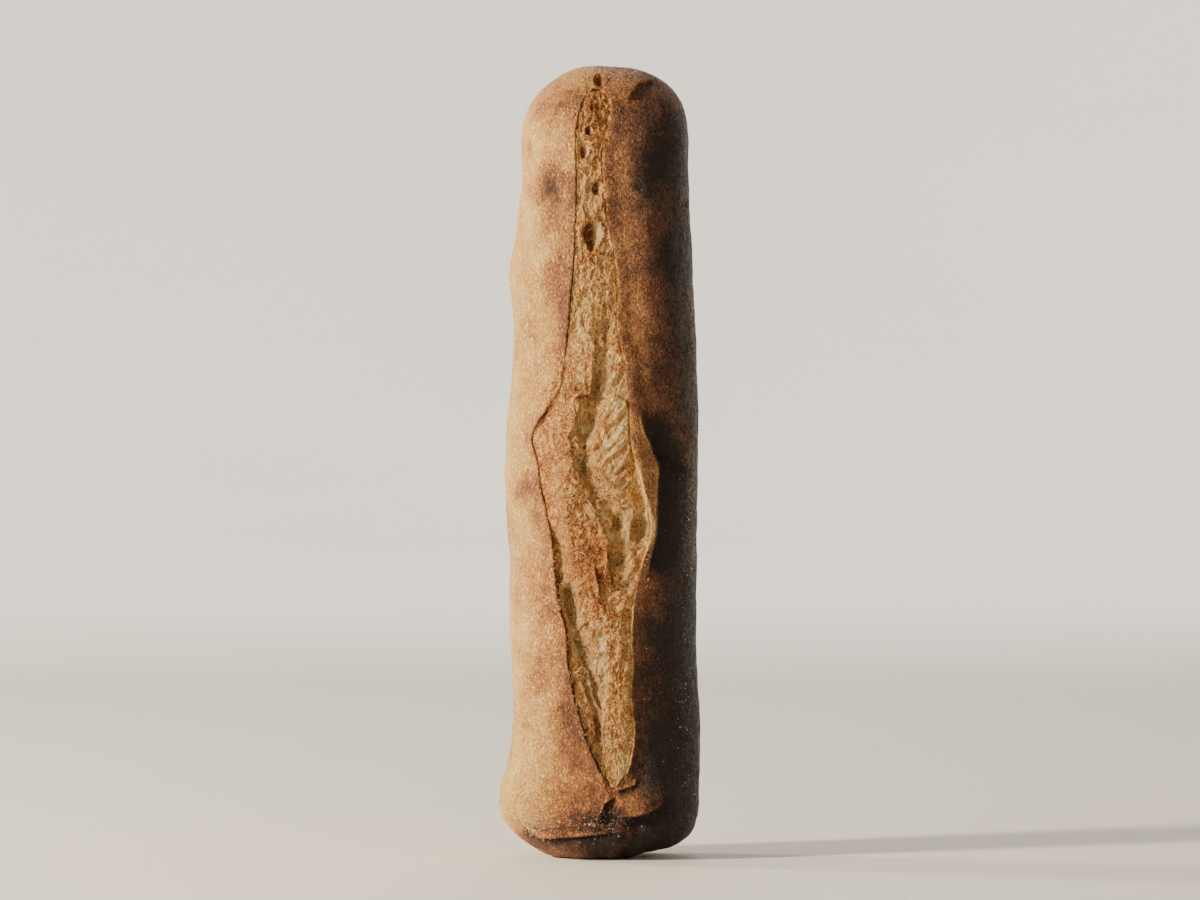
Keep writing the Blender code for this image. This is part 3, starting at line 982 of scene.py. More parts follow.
    @staticmethod
    def select_vertices(shell: bpy.types.Object, chosen: np.ndarray) -> None:
        """Selects those vertices, and goes into edit mode.

        Args:
            shell: The crust.
            chosen: For each vertex, whether it is selected.
        """
        shell.data.vertices.foreach_set("select", chosen)
        for items in (shell.data.edges, shell.data.polygons):
            items.foreach_set("select", np.zeros(len(items), bool))
        select_only(shell)
        bpy.context.tool_settings.mesh_select_mode = (True, False, False)
        bpy.ops.object.mode_set(mode="EDIT")
        bpy.ops.mesh.select_mode(type="VERT")

    @staticmethod
    def beside_ear(heights: np.ndarray) -> np.ndarray:
        """1 at the heights where the right lip stands up as an ear, and 0 elsewhere."""
        return stretch_of(heights, (125, 145), (196, 206))

    @staticmethod
    def crisp(heights: np.ndarray) -> np.ndarray:
        """1 at the heights where the right lip is a thin raised line beside dark crust, and 0 elsewhere."""
        return stretch_of(heights, (34, 42), (108, 124))

    def fill_pinhole(self, shell: bpy.types.Object) -> None:
        """Draws the pinhole level with the crust about it, to be cut again with a cleaner rim.

        Args:
            shell: The crust.
        """
        heights, offsets, front = self.front_places(places(shell))
        self.select_vertices(shell, (self.pinhole.distance(heights, offsets) < 1.7) & (front > 0))
        bpy.ops.mesh.vertices_smooth(factor=0.9, repeat=60)
        bpy.ops.object.mode_set(mode="OBJECT")
        heights, offsets, front = self.front_places(places(shell))
        self.select_vertices(shell, (self.pinhole.distance(heights, offsets) < 1.3) & (front > 0))
        bpy.ops.mesh.subdivide(number_cuts=2, ngon=False, quadcorner="INNERVERT")
        bpy.ops.object.mode_set(mode="OBJECT")
        points = places(shell)
        heights, offsets, front = self.front_places(points)
        away, inside = self.pinhole.distance(heights, offsets), self.slash.inside(heights, offsets)
        up, across = heights / MM - self.pinhole.height, offsets / MM - self.pinhole.offset
        terms = np.stack([np.ones_like(up), up, across, up**2, up * across, across**2], axis=1)
        around = (away > 1.7) & (away < 2.8) & (heights < 357 * MM) & (front > 0) & (inside < -0.3 * MM)
        for _ in range(4):
            fit = np.linalg.lstsq(terms[around], points[around, 1], rcond=None)[0]
            around &= points[:, 1] - terms @ fit < 0.2 * MM
        share = (1 - smooth(1.9, 2.6, away)) * (1 - smooth(356.5 * MM, 358.5 * MM, heights)) * (front > 0)
        share *= 1 - smooth(-0.5 * MM, 0.5 * MM, inside)
        points[:, 1] += share * (terms @ fit - points[:, 1])
        move_to(shell, points)

    def front_places(self, points: np.ndarray) -> tuple[np.ndarray, np.ndarray, np.ndarray]:
        """(heights, offsets, how much each point belongs to the front) of points in the frame."""
        relative = points - np.array(AXIS)
        return relative[:, 2], relative[:, 0], smooth(-2 * MM, -10 * MM, relative[:, 1])

    @staticmethod
    def unevenness(points: np.ndarray) -> np.ndarray:
        """Draws swellings, wrinkles, blisters and pits all over the crust.

        Args:
            points: Each place in the frame.

        Returns:
            How far it stands out, in millimetres.
        """
        swell = 0.5 * perlin(points, 17 * MM, 3) + 0.25 * perlin(points, 7 * MM, 11)
        swell += 0.14 * perlin(points, 3.6 * MM, 12)
        wrinkled = smooth(-0.4, 0.5, perlin(points, 24 * MM, 8))
        wrinkle = 0.2 * ridged(points, (3.2 * MM, 3.2 * MM, 5.4 * MM), 5) * wrinkled
        near, _, chance = cells(points, 8 * MM, 2)
        blister = 0.4 * np.clip(1 - (near / 0.3) ** 2, 0, 1) ** 2 * (chance > 0.6)
        pit = 0.3 * np.clip(1 - (near / 0.14) ** 2, 0, 1) * (chance < 0.28)
        return swell + wrinkle + blister - pit

    def roughen(self, shell: bpy.types.Object) -> None:
        """Gives the crust its own unevenness, and drops it away under the torn crumb.

        Args:
            shell: The crust.
        """
        points, normals = places(shell), normals_of(shell)
        heights, offsets, front = self.front_places(points)
        inside = self.slash.inside(heights, offsets) * (front > 0) - 1.0 * (front <= 0)
        crust = 1 - smooth(-1.0 * MM, 0.4 * MM, inside)
        lift = MM * self.unevenness(points)
        lift -= MM * total(self.dents, heights, offsets) * front
        lift += MM * front * sum(fold.lift(heights, offsets) for fold in self.folds)
        # the drop beyond the ear, and the raised edges of both lips
        left, right = self.slash.lips(heights)
        to_left, to_right = (left - offsets) / MM, (offsets - right) / MM
        past_ear = (offsets - right - self.slash.ear_reach.at(heights)) / MM
        step = 1.8 * smooth(-0.3, 0.35, past_ear) * np.exp(-np.clip(past_ear, 0, None) / 6)
        lift += MM * front * self.beside_ear(heights) * (0.35 * peak(past_ear, -0.6, 0.7) - step)
        torn = front * self.slash.torn(heights)
        uneven = 1 + 0.7 * perlin(points, 4 * MM, 32)
        lift += MM * torn * 0.55 * peak(to_left, 0.5, 0.9) * uneven
        lift += MM * front * self.crisp(heights) * 0.5 * peak(to_right, 0.5, 0.6)
        # the pinhole and its rim
        distance = self.pinhole.distance(heights, offsets)
        lift *= smooth(0.9, 1.6, distance)
        rim = 0.25 * peak(distance, 1.15, 0.14)
        lift += MM * front * (rim - self.pinhole.cut(heights, offsets))
        points += normals * (lift * crust)[:, None]
        points[:, 1] += self.floor_drop * smooth(0.4 * MM, 3.0 * MM, inside) * (front > 0)
        move_to(shell, boxed(points))

    def beside_slash(
        self, points: np.ndarray, heights: np.ndarray, offsets: np.ndarray, front: np.ndarray
    ) -> np.ndarray:
        """Works out how much browner or paler the slash makes the crust beside it.

        Args:
            points: Each place in the frame.
            heights: Its height above the foot.
            offsets: How far right of the axis it is.
            front: How much it belongs to the front, from 0 to 1.

        Returns:
            What is added to how baked the place is, less than 0 along pale edges; it holds painted shadow
            beside the ear and the right lip and painted highlights on the ear's rim and the right lip as
            well.
        """
        # browner along the left lip, seared at its torn edge; painted shadow beside the right lip at the top
        left, right = self.slash.lips(heights)
        to_left, to_right = (left - offsets) / MM, (offsets - right) / MM
        past_ear = (offsets - right - self.slash.ear_reach.at(heights)) / MM
        along_slash = front * smooth(self.slash.foot, self.slash.foot + 20 * MM, heights)
        bake = 0.14 * peak(to_left, 0, 6) * along_slash
        low = 1 - smooth(120 * MM, 150 * MM, heights)
        seared = (0.22 + 0.16 * low) * peak(to_left, -0.1, 0.45 + 0.2 * low) * self.slash.torn(heights)
        bake += seared * front * (1 + perlin(points, 5 * MM, 33))
        # a painted shadow strip just right of the right lip near the top
        bake += 0.12 * peak(to_right, 4, 4) * along_slash * smooth(280 * MM, 310 * MM, heights)
        crisp = self.crisp(heights) * front
        # browner beside the thin raised right lip lower down, and a pale line on it: its torn edge, partly a
        # painted highlight
        bake += crisp * 0.18 * smooth(0.6, 1.8, to_right) * peak(to_right, 0, 9)
        bake -= crisp * 0.42 * peak(to_right, 0.3, 0.45)
        # painted shadow beyond the ear, a painted highlight inside its rim, pale on its face and cut edge
        beside_ear = self.beside_ear(heights) * front
        bake += 0.3 * smooth(-0.3, 0.4, past_ear) * (1 - smooth(6, 16, past_ear)) * beside_ear
        bake -= 0.1 * (past_ear < -0.8) * (offsets > right) * beside_ear
        cut_edge = MM * (0.6 + 1.5 * peak(heights / MM, 152, 11) + 0.4 * wander(heights, 3 * MM, 8.3))
        pale_edge = (1 - smooth(0.6, 1.2, (offsets - right) / cut_edge)) * (offsets > right - MM)
        bake -= 0.4 * pale_edge * beside_ear * (1 - 0.8 * smooth(172 * MM, 182 * MM, heights))
        # a painted highlight just inside the ear's outer rim
        bake -= 0.16 * peak(past_ear, -0.8, 0.5) * beside_ear
        return bake

    def colour(self, shell: bpy.types.Object) -> None:
        """Writes how baked and how floury each spot of the crust is.

        Args:
            shell: The crust.
        """
        # what is written here holds painted shade and painted highlights as well as the real browning
        points = places(shell)
        heights, offsets, front = self.front_places(points)
        relative = points - np.array(AXIS)
        turn = np.degrees(np.arctan2(relative[:, 0], -relative[:, 1] * 1.25))
        angles, levels = np.array(self.around).T
        # partly real browning by angle, partly painted shade on the right side, which turns from the light
        bake = np.interp(turn, angles, levels)
        # patches of bake, finest on the lit left side
        lit = 1 - smooth(0, 50, turn)
        bake += 0.1 * perlin(points, 30 * MM, 21) + (0.06 + 0.07 * lit) * perlin(points, 11 * MM, 22)
        bake += (0.04 + 0.06 * lit) * perlin(points, 4.5 * MM, 23)
        bake += 0.16 * (1 - front) * perlin(points, 24 * MM, 28)
        upward_waver = 4.0 * perlin(points, 9 * MM, 24) + 1.8 * perlin(points, 3.2 * MM, 25)
        sideways_waver = 2.4 * perlin(points, 9 * MM, 26) + 1.4 * perlin(points, 3.2 * MM, 27)
        ragged_up, ragged_across = heights + MM * upward_waver, offsets + MM * sideways_waver
        bake += total(self.browned, ragged_up, ragged_across) * front
        bake += self.beside_slash(points, heights, offsets, front)
        # even at the top, and darker about the foot and at the lower right as painted shade
        ends = smooth(330 * MM, 352 * MM, heights)
        bake = bake + (0.44 - bake) * 0.5 * ends + 0.28 * (1 - smooth(4 * MM, 18 * MM, heights))
        # painted shade on the lower right, which turns from the light
        to_the_right = smooth(15, 32, turn) * (1 - smooth(62, 120, turn))
        bake += 0.18 * (1 - smooth(100 * MM, 160 * MM, heights)) * to_the_right
        # more painted shade along the very foot
        bake += 0.1 * (1 - smooth(10 * MM, 14 * MM, heights)) * front
        # painted shade under each fold and a painted highlight on its rim
        bake += front * sum(fold.shade(heights, offsets) for fold in self.folds)
        write_attribute(shell, Attribute.BAKE, bake)
        flour = 0.1 + 0.2 * (1 - front) + total(self.floured, heights, offsets) * front
        flour += 0.3 * perlin(points, 7 * MM, 31)
        write_attribute(shell, Attribute.FLOUR, flour)

    def dress(self, shell: bpy.types.Object) -> None:
        """Gives the crust its finish and ties it to the frame.

        Args:
            shell: The crust.
        """
        shell.data.materials.append(self.finish.material())
        shell.data.shade_smooth()
        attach(shell, "root")
        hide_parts("loaf")


@dataclass(frozen=True)
class CrumbBed:
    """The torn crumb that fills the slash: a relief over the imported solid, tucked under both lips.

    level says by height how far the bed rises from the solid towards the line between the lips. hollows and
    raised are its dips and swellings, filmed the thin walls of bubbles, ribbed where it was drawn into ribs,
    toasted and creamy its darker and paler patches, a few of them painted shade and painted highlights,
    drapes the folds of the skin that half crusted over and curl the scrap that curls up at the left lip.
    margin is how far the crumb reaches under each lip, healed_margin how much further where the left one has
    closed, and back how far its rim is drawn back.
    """

    slash: Slash
    finish: TornCrumb
    columns: int = 104
    rows: int = 860
    margin: float = 1.8 * MM
    healed_margin: float = 3.4 * MM
    back: float = 14 * MM
    body_radius: float = 44 * MM
    level: Line = Line(
        ((0, 0.4), (40, 0.4), (100, 0.34), (125, 0.26), (150, 0.0), (200, 0.0), (230, 0.5), (250, 0.85),
         (360, 0.85))
    )  # fmt: skip
    bubbles: tuple[Bubble, ...] = (
        Bubble(282.5, -3.6, 7.3, 5.0, 7.5, 4, 0.55),
        Bubble(304.0, -1.2, 3.2, 2.9, 4.6, 15, 0.1),
        Bubble(320.5, -7.2, 3.2, 2.2, 4.6, 15, 0.2),
        Bubble(330.0, -5.1, 2.0, 1.8, 3.4, 0, 0.0),
        Bubble(340.5, -3.6, 1.3, 1.0, 0.9, 30, 0.0),
        Bubble(268.0, 1.0, 2.2, 0.6, 1.0, -35, 0.0),
    )
    hollows: tuple[Spot, ...] = spots(
        (216, -2.2, 8, 2.2, 1.8, 12), (197, -6.5, 6.5, 4.0, 2.0, 20),
        (181, -8.4, 5.5, 2.2, 2.2, -10), (154, 8.0, 4.6, 3.0, 1.9), (151, 17.4, 7.0, 3.0, 1.7, 8),
        (169, 10.5, 2.6, 2.2, 1.0), (138, -17.6, 14, 2.0, 5.2, 8), (117, -13.2, 10, 3.0, 3.6, -8),
        (96, -8.0, 12, 2.4, 2.6, -18), (78, -1.9, 9, 1.9, 3.4, -14), (62, -1.4, 8, 2.0, 3.2, -6),
        (137, 8.0, 3.4, 3.0, 2.0), (124, 11.4, 3.6, 4.0, 1.6), (240, 2.8, 6, 1.8, 1.2),
    )  # fmt: skip
    raised: tuple[Spot, ...] = spots(
        (97, 11, 20, 5, 1.4), (73, 11, 15, 4.6, 1.3), (108, 2, 8, 6, 0.7), (46, 6.5, 8, 4, 0.3),
        (219, 2.5, 13, 3.4, 0.7), (76, -10.5, 9, 2.6, 0.8),
        (191, 12.5, 12, 5, 1.5, 12), (128, -4, 9, 5, 0.7), (255, -2, 12, 4, 0.5),
        (165, 1, 8, 4, 2.2), (149, 5.0, 10, 4, 2.0), (205.5, -2.5, 2.2, 4, 1.6, 60),
        (189, -5.4, 2.4, 3, 1.4), (187, -9.8, 4.5, 1.6, 1.8, -12), (167, 8.2, 1.5, 1.9, 1.2),
        (172, -2, 6, 3, 1.2),
    )  # fmt: skip
    filmed: tuple[Spot, ...] = spots(
        (80, -3.8, 15, 3.6, 1.0, -14), (54, 1.5, 8, 3.2, 0.8, -10), (113, -13, 10, 2.6, 0.8, -8),
        (167.5, 1.0, 6, 4, 0.8), (151, 17.4, 7, 3.2, 1.0, 8), (234, 0, 10, 2.4, 0.6),
    )  # fmt: skip
    ribbed: tuple[Spot, ...] = spots((190, 7, 18, 9, 1.0, 15), (170, 13, 9, 6, 0.5), (222, 6, 14, 4, 0.35))
    toasted: tuple[Spot, ...] = spots(
        (97, 8.5, 18, 4.2, 0.1), (74, 8.5, 14, 4, 0.08), (112, 3, 8, 8, 0.2), (136, -6, 9, 7, 0.26),
        (122, -2, 8, 5, 0.2), (255, 1.5, 25, 3, 0.05), (283, -4, 14, 6, 0.06), (150, 22, 18, 2, 0.25),
        (186, -1, 20, 2.5, 0.12), (345, 0, 9, 7, 0.24), (322, -2, 20, 6, 0.12),
        (110, 12, 12, 2, 0.08), (178, -12, 22, 3, 0.08), (167, 1, 6, 5, 0.28),
        # the thin leaning spot at (202, -25) is painted shade in the left lip's crevice
        (202, -25, 6.5, 1.0, 0.5, 30), (338, -3, 12, 7, 0.12),
        # the narrow spots at (64, -1.6) and (88, -8) darken the valley of the lower crumb, partly as painted
        # shade
        (136, 8, 9, 6, 0.16), (48, 4, 14, 6, 0.12), (64, -1.6, 8, 1.8, 0.34), (88, -8, 12, 1.6, 0.2, -14),
    )  # fmt: skip
    creamy: tuple[Spot, ...] = spots(
        # the band at (95, 0.6) is pale crumb, partly a painted highlight, and the knob at (167, 8.2) a
        # painted highlight
        (95, 0.6, 15, 2.6, 0.36, -3), (98, -8.5, 9, 3, 0.16), (43, 10.4, 5, 2, 0.3), (207, 7, 8, 5, 0.3),
        (150, 12.5, 5, 3.0, 0.35), (235, -7, 14, 4, 0.16), (150, 20.5, 16, 1.2, 0.5), (296, -5, 5, 4, 0.2),
        (188, 9, 12, 6, 0.12, 15), (167, 8.2, 1.5, 1.9, 0.4),
    )  # fmt: skip
    curl: Spot = Spot(166.8, -19.2, 2.6, 2.2)
    drapes: tuple[Fold, ...] = (
        Fold(((13.3, 202.7), (11.5, 208.2), (6.0, 210.9), (1.5, 209.1)), 0.7, 2.4, 0.6, 0.16),
        Fold(((0.7, 197.1), (5.3, 199.1), (9.2, 201.8), (11.8, 203.6)), 0.7, 2.6, 0.6, 0.16),
        Fold(((1.4, 186.1), (5.3, 189.5), (9.2, 193.2), (12.4, 196.5)), 0.7, 2.6, 0.6, 0.18),
        Fold(((4.0, 182.9), (7.8, 186.1), (11.8, 188.6)), 0.6, 2.2, 0.5, 0.14),
        Fold(((6.0, 175.7), (10.5, 179.1), (15.0, 181.5)), 1.2, 3.4, 0.7, 0.26),
        Fold(((-11.7, 209.5), (-8.4, 211.4), (-5.8, 211.3), (-3.0, 209.0)), 1.2, 2.4, 0.6, 0.26),
        Fold(((-7.6, 180.5), (-7.2, 186.0), (-8.6, 190.0)), 1.2, 2.0, 0.5, 0.26),
        Fold(((-12.2, 167.5), (-12.8, 160.0), (-11.2, 154.0)), 0.7, 2.0, 0.4, 0.26),
        Fold(((-17.0, 151.0), (-11.0, 155.5), (-5.0, 152.0), (0.0, 153.5)), 0.3, 3.0, 0.3, 0.12),
        Fold(((4.6, 147.5), (5.2, 152.0), (6.0, 156.5)), 1.4, 3.0, 0.8, 0.2),
        Fold(((13.7, 144.0), (13.9, 150.5), (15.8, 156.5)), 1.4, 3.2, 0.5, 0.2),
        Fold(((3.2, 134.5), (3.4, 141.0)), 1.0, 2.4, 0.8, 0.2),
        Fold(((-0.6, 120.0), (-0.6, 126.0), (-2.8, 135.0)), 1.1, 3.0, 0.8, 0.26),
        Fold(((5.2, 122.5), (5.0, 131.0)), 1.0, 2.4, 0.7, 0.24),
        Fold(((-12.2, 102.7), (-8.5, 107.0), (-3.5, 109.5)), 0.5, 2.0, 1.2, 0.2),
        Fold(((-10.4, 92.3), (-8.6, 97.0), (-4.4, 99.5)), 0.3, 1.6, 0.7, 0.16),
        Fold(((-3.5, 69.5), (-6.5, 76.0), (-9.0, 83.0)), 1.2, 2.6, 0.6, 0.2),
    )

    def grid(self) -> tuple[bpy.types.Object, np.ndarray, np.ndarray, np.ndarray]:
        """A grid laid over the slash.

        Returns:
            The object, the order that sorts its vertices by row and then by column, and the height and the
            offset of each place in that order, as arrays of rows by columns.
        """
        bpy.ops.mesh.primitive_grid_add(x_subdivisions=self.columns, y_subdivisions=self.rows, size=1)
        bed = bpy.context.object
        bed.name = bed.data.name = "torn_crumb"
        flat = places(bed) + 0.5
        order = np.lexsort((flat[:, 0], flat[:, 1]))
        shape = (len(np.unique(flat[:, 1].round(6))), len(np.unique(flat[:, 0].round(6))))
        across, up = flat[order, 0].reshape(shape), flat[order, 1].reshape(shape)
        heights = self.slash.foot + up * (self.slash.top - self.slash.foot)
        left, right = self.slash.lips(heights)
        left = left - self.margin - self.healed_margin * self.slash.healed(heights)
        right = right + self.margin
        return bed, order, heights, left + across * (right - left)

    def base(self, solid: BVHTree, heights: np.ndarray, offsets: np.ndarray) -> np.ndarray:
        """Finds how far forward the bed of the crumb starts, with the solid's bubbles filled in.

        Args:
            solid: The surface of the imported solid.
            heights: The height of each place, as rows by columns.
            offsets: Its offset.

        Returns:
            y in metres for each place.
        """
        left, right = self.slash.lips(heights)
        healed = self.slash.healed(heights)
        inner = np.clip(offsets, left + 0.7 * MM - 6 * MM * healed, right - 0.15 * MM)
        depth = np.empty_like(offsets)
        for place in np.ndindex(offsets.shape):
            start = Vector((inner[place] + AXIS.x, -1, heights[place]))
            hit = solid.ray_cast(start, TOWARDS_BACK)[0]
            depth[place] = hit.y if hit else np.nan
        filled = np.isnan(depth)
        for bubble in self.bubbles[:3]:
            filled |= bubble.distance(heights, offsets) < 1.45
        for row in np.flatnonzero(filled.any(axis=1)):
            keep = ~filled[row]
            if keep.any():
                depth[row] = np.interp(offsets[row], offsets[row][keep], depth[row][keep])
        for _ in range(5):
            depth[1:-1] = (depth[:-2] + 2 * depth[1:-1] + depth[2:]) / 4
        for _ in range(2):
            depth[:, 1:-1] = (depth[:, :-2] + 2 * depth[:, 1:-1] + depth[:, 2:]) / 4
        share = np.clip((offsets - left) / np.maximum(right - left, MM), 0, 1)
        rightwards = 1.4 - 1.85 * smooth(112 * MM, 140 * MM, heights)
        raised = np.clip(self.level.at(heights) / MM * (1 + rightwards * share), 0, 0.95)
        return depth + raised * np.minimum(self.brim(solid, heights, share) - depth, 0)

    def brim(self, solid: BVHTree, heights: np.ndarray, share: np.ndarray) -> np.ndarray:
        """Finds how far forward the crumb would stand if it filled the slash level with its lips.

        Args:
            solid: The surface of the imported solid.
            heights: The height of each place, as rows by columns.
            share: How far across the slash it is, from 0 at the left lip to 1 at the right.

        Returns:
            y in metres for each place.
        """
        left, right = self.slash.lips(heights)
        brims = []
        for lip in (left[:, :1] - 1.4 * MM, right[:, -1:] + 1.4 * MM):
            starts = [Vector((x + AXIS.x, -1, z)) for x, z in zip(lip[:, 0], heights[:, 0])]
            hits = [solid.ray_cast(start, TOWARDS_BACK)[0] for start in starts]
            brims.append(np.array([hit.y if hit else np.nan for hit in hits])[:, None])
        bulge = (right - left) ** 2 / (2 * self.body_radius) * share * (1 - share)
        return brims[0] + (brims[1] - brims[0]) * share - bulge

    def past_skin(
        self, points: np.ndarray, heights: np.ndarray, offsets: np.ndarray
    ) -> tuple[np.ndarray, np.ndarray]:
        """Measures each place against the torn edge of the half-crusted skin.

        Args:
            points: Each place as x, 0 and z.
            heights: Its height.
            offsets: Its offset.

        Returns:
            How far right of that edge it is, in metres, and 1 at the heights that have the skin.
        """
        ragged = 1.3 * perlin(points, 5 * MM, 41) + 0.8 * perlin(points, 1.8 * MM, 42)
        skinned = stretch_of(heights, (121, 134), (230, 240))
        return offsets - self.slash.skin_edge.at(heights) - MM * ragged, skinned

    @staticmethod
    def tears(points: np.ndarray) -> tuple[np.ndarray, np.ndarray, np.ndarray]:
        """Draws the tears of the crumb and its small burst cells.

        Args:
            points: Each place as x, 0 and z, with some drift.

        Returns:
            How far the tears and the cells' walls stand out, and how deep the cells are.
        """
        tear = 0.85 * perlin(points, (3.4 * MM, MM, 4.4 * MM), 53)
        tear += 0.7 * perlin(points, (1.7 * MM, MM, 2.1 * MM), 54)
        tear += 0.5 * ridged(points, (1.3 * MM, MM, 2.4 * MM), 55) + 0.42 * perlin(points, 0.8 * MM, 59)
        near, gap, chance = cells(points, (3.2 * MM, 3.2 * MM, 4.4 * MM), 56)
        burst = np.sqrt(np.clip(1 - (near / 0.42) ** 2, 0, 1)) * smooth(0.6, 0.85, chance)
        wall = peak(gap, 0, 0.14) * smooth(0.3, 0.7, chance)
        return tear, wall, burst

    @staticmethod
    def ribs(points: np.ndarray, drift: np.ndarray) -> np.ndarray:
        """Draws long ribs that lean to the right.

        Args:
            points: Each place as x, 0 and z.
            drift: How far the pattern is moved there.

        Returns:
            How far they stand out.
        """
        turn = math.radians(48)
        lengthways = points[:, 0] * math.cos(turn) + points[:, 2] * math.sin(turn)
        sideways = points[:, 2] * math.cos(turn) - points[:, 0] * math.sin(turn)
        leaning = np.stack([sideways, np.zeros(len(points)), lengthways], axis=1) + drift
        rib = 1.3 * ridged(leaning, (4.6 * MM, MM, 19 * MM), 57)
        rib += 0.6 * ridged(leaning, (1.7 * MM, MM, 11 * MM), 58)
        rib += 0.35 * ridged(leaning, (0.9 * MM, MM, 7 * MM), 69)
        return rib

    def burst_bubbles(
        self, lift: np.ndarray, heights: np.ndarray, offsets: np.ndarray
    ) -> tuple[np.ndarray, np.ndarray, np.ndarray, np.ndarray]:
        """Cuts the burst bubbles into the relief.

        Args:
            lift: The relief so far, in millimetres.
            heights: The height of each place, in metres.
            offsets: How far right of the axis it is, in metres.

        Returns:
            The relief with the bubbles in it, and how deep in one, how much painted shade darkens its left
            wall and how scorched each place is.
        """
        deep, painted_wall_shade, scorched = (np.zeros_like(offsets) for _ in range(3))
        for bubble in self.bubbles:
            distance, cut = bubble.distance(heights, offsets), bubble.cut(heights, offsets)
            inside = 1 - smooth(0.8, 1.05, distance)
            lift = lift * (1 - inside) - cut
            lift += 0.3 * peak(distance, 1.12, 0.1)
            deep = np.maximum(deep, inside)
            scorched = np.maximum(scorched, peak(distance, 1.15, 0.13))
            # painted shade on each bubble's left wall, where the light from the left does not reach
            painted_wall_shade = np.maximum(painted_wall_shade, (distance < 0.97) * smooth(0.35, -0.25, bubble.sideways(offsets)))
        return lift, deep, painted_wall_shade, scorched

    def relief(self, heights: np.ndarray, offsets: np.ndarray) -> tuple[np.ndarray, np.ndarray, np.ndarray]:
        """How far the crumb stands out from the solid.

        Args:
            heights: The height of each place.
            offsets: Its offset.

        Returns:
            The relief in metres, and how toasted and how hollow each place is, from 0 to 1, the toasting
            holding painted shade too and the hollow a gel colour that is partly painted shade in the dips.
        """
        points = np.stack([offsets, np.zeros_like(offsets), heights], axis=1)
        level_drift, height_drift = perlin(points, 9 * MM, 51), perlin(points, 9 * MM, 52)
        drift = 2.2 * MM * np.stack([level_drift, np.zeros(len(points)), height_drift], axis=1)
        warped = points + drift
        past_skin, span = self.past_skin(points, heights, offsets)
        skin = smooth(0.3 * MM, -0.3 * MM, past_skin) * span
        bare = 1 - skin
        tear, wall, burst = self.tears(warped)
        rib = self.ribs(points, drift)
        ribbed = np.clip(total(self.ribbed, heights, offsets), 0, 1)
        # the named dips, swellings and films, with ragged outlines
        ragged_up, ragged_across = heights + 0.5 * drift[:, 2], offsets + 0.4 * drift[:, 0]
        torn_up = ragged_up + 0.7 * MM * perlin(points, 2.2 * MM, 71)
        torn_across = ragged_across + 0.6 * MM * perlin(points, 2 * MM, 72)
        hollow = sum((spot.bowl(torn_up, torn_across) for spot in self.hollows), np.zeros_like(offsets))
        raised = total(self.raised, heights, offsets)
        filmed = bare * np.clip(total(self.filmed, torn_up, torn_across), 0, 1)
        even = 1 - 0.7 * filmed
        lift = bare * even * ((tear + 0.2 * wall - 0.9 * burst) * (1 - 0.5 * ribbed) + ribbed * rib)
        # the half-crusted skin and its folds
        crinkle = 0.5 * ridged(warped, (3.0 * MM, MM, 4.6 * MM), 62) + 0.3 * perlin(warped, 1.2 * MM, 63)
        crinkle += 0.4 * perlin(warped, 2.6 * MM, 66) + 0.25 * ridged(warped, 1.5 * MM, 73)
        lift += skin * (0.9 + 0.6 * perlin(points, 5 * MM, 61) + crinkle)
        lift += skin * 0.7 * peak(past_skin, 0, 1.6 * MM)
        lift += sum(fold.lift(ragged_up, ragged_across) for fold in self.drapes)
        lumps = perlin(warped, (5 * MM, MM, 7 * MM), 68)
        lift += bare * (1 - 0.6 * ribbed) * lumps
        lift += 0.5 * perlin(points, 13 * MM, 64) + raised - hollow * (1 - 0.85 * skin)
        around_curl = self.curl.distance(heights, offsets)
        lift += 0.5 * (peak(around_curl, 1, 0.28) - peak(around_curl, 0, 0.6))
        lift, deep, painted_wall_shade, scorched = self.burst_bubbles(lift, heights, offsets)
        # colour: how toasted each place is, with painted shade added, and where gel films show
        toast = 0.4 + 0.2 * bare * even * np.clip(tear, -1, 1) + 0.14 * ribbed * np.clip(0.2 - rib, -1, 1.4)
        toast += total(self.toasted, heights, offsets) - total(self.creamy, heights, offsets)
        toast += 0.12 * bare * lumps + 0.12 * (1 - ribbed) * bare * perlin(warped, 3 * MM, 70)
        # painted shade under each drape and a painted highlight on its rim
        toast += sum(fold.shade(ragged_up, ragged_across) for fold in self.drapes)
        for fold in self.drapes:
            away, strength = fold.beside(ragged_up, ragged_across)
            toast += 0.7 * fold.dark * strength * peak(away, -0.1, 0.5)
        toast += skin * (0.1 + 0.12 * perlin(points, 7 * MM, 65) + 0.24 * crinkle) - 0.2 * burst * bare
        # inside a bubble, painted shade darkens the left wall
        toast = toast * (1 - deep) + (0.14 + 0.86 * painted_wall_shade) * deep + 0.25 * scorched
        # the gel colour follows the dips' depth: partly the gel of thin walls, partly painted shade
        film = 0.62 * smooth(0.3, 1.8, hollow) * (1 + 0.7 * perlin(warped, 2 * MM, 67)) * bare
        film += 0.2 * burst * bare
        film = np.maximum(film, filmed * (0.75 + 0.35 * perlin(warped, 3 * MM, 74)))
        return MM * lift, toast, film * (1 - deep) + 0.25 * deep

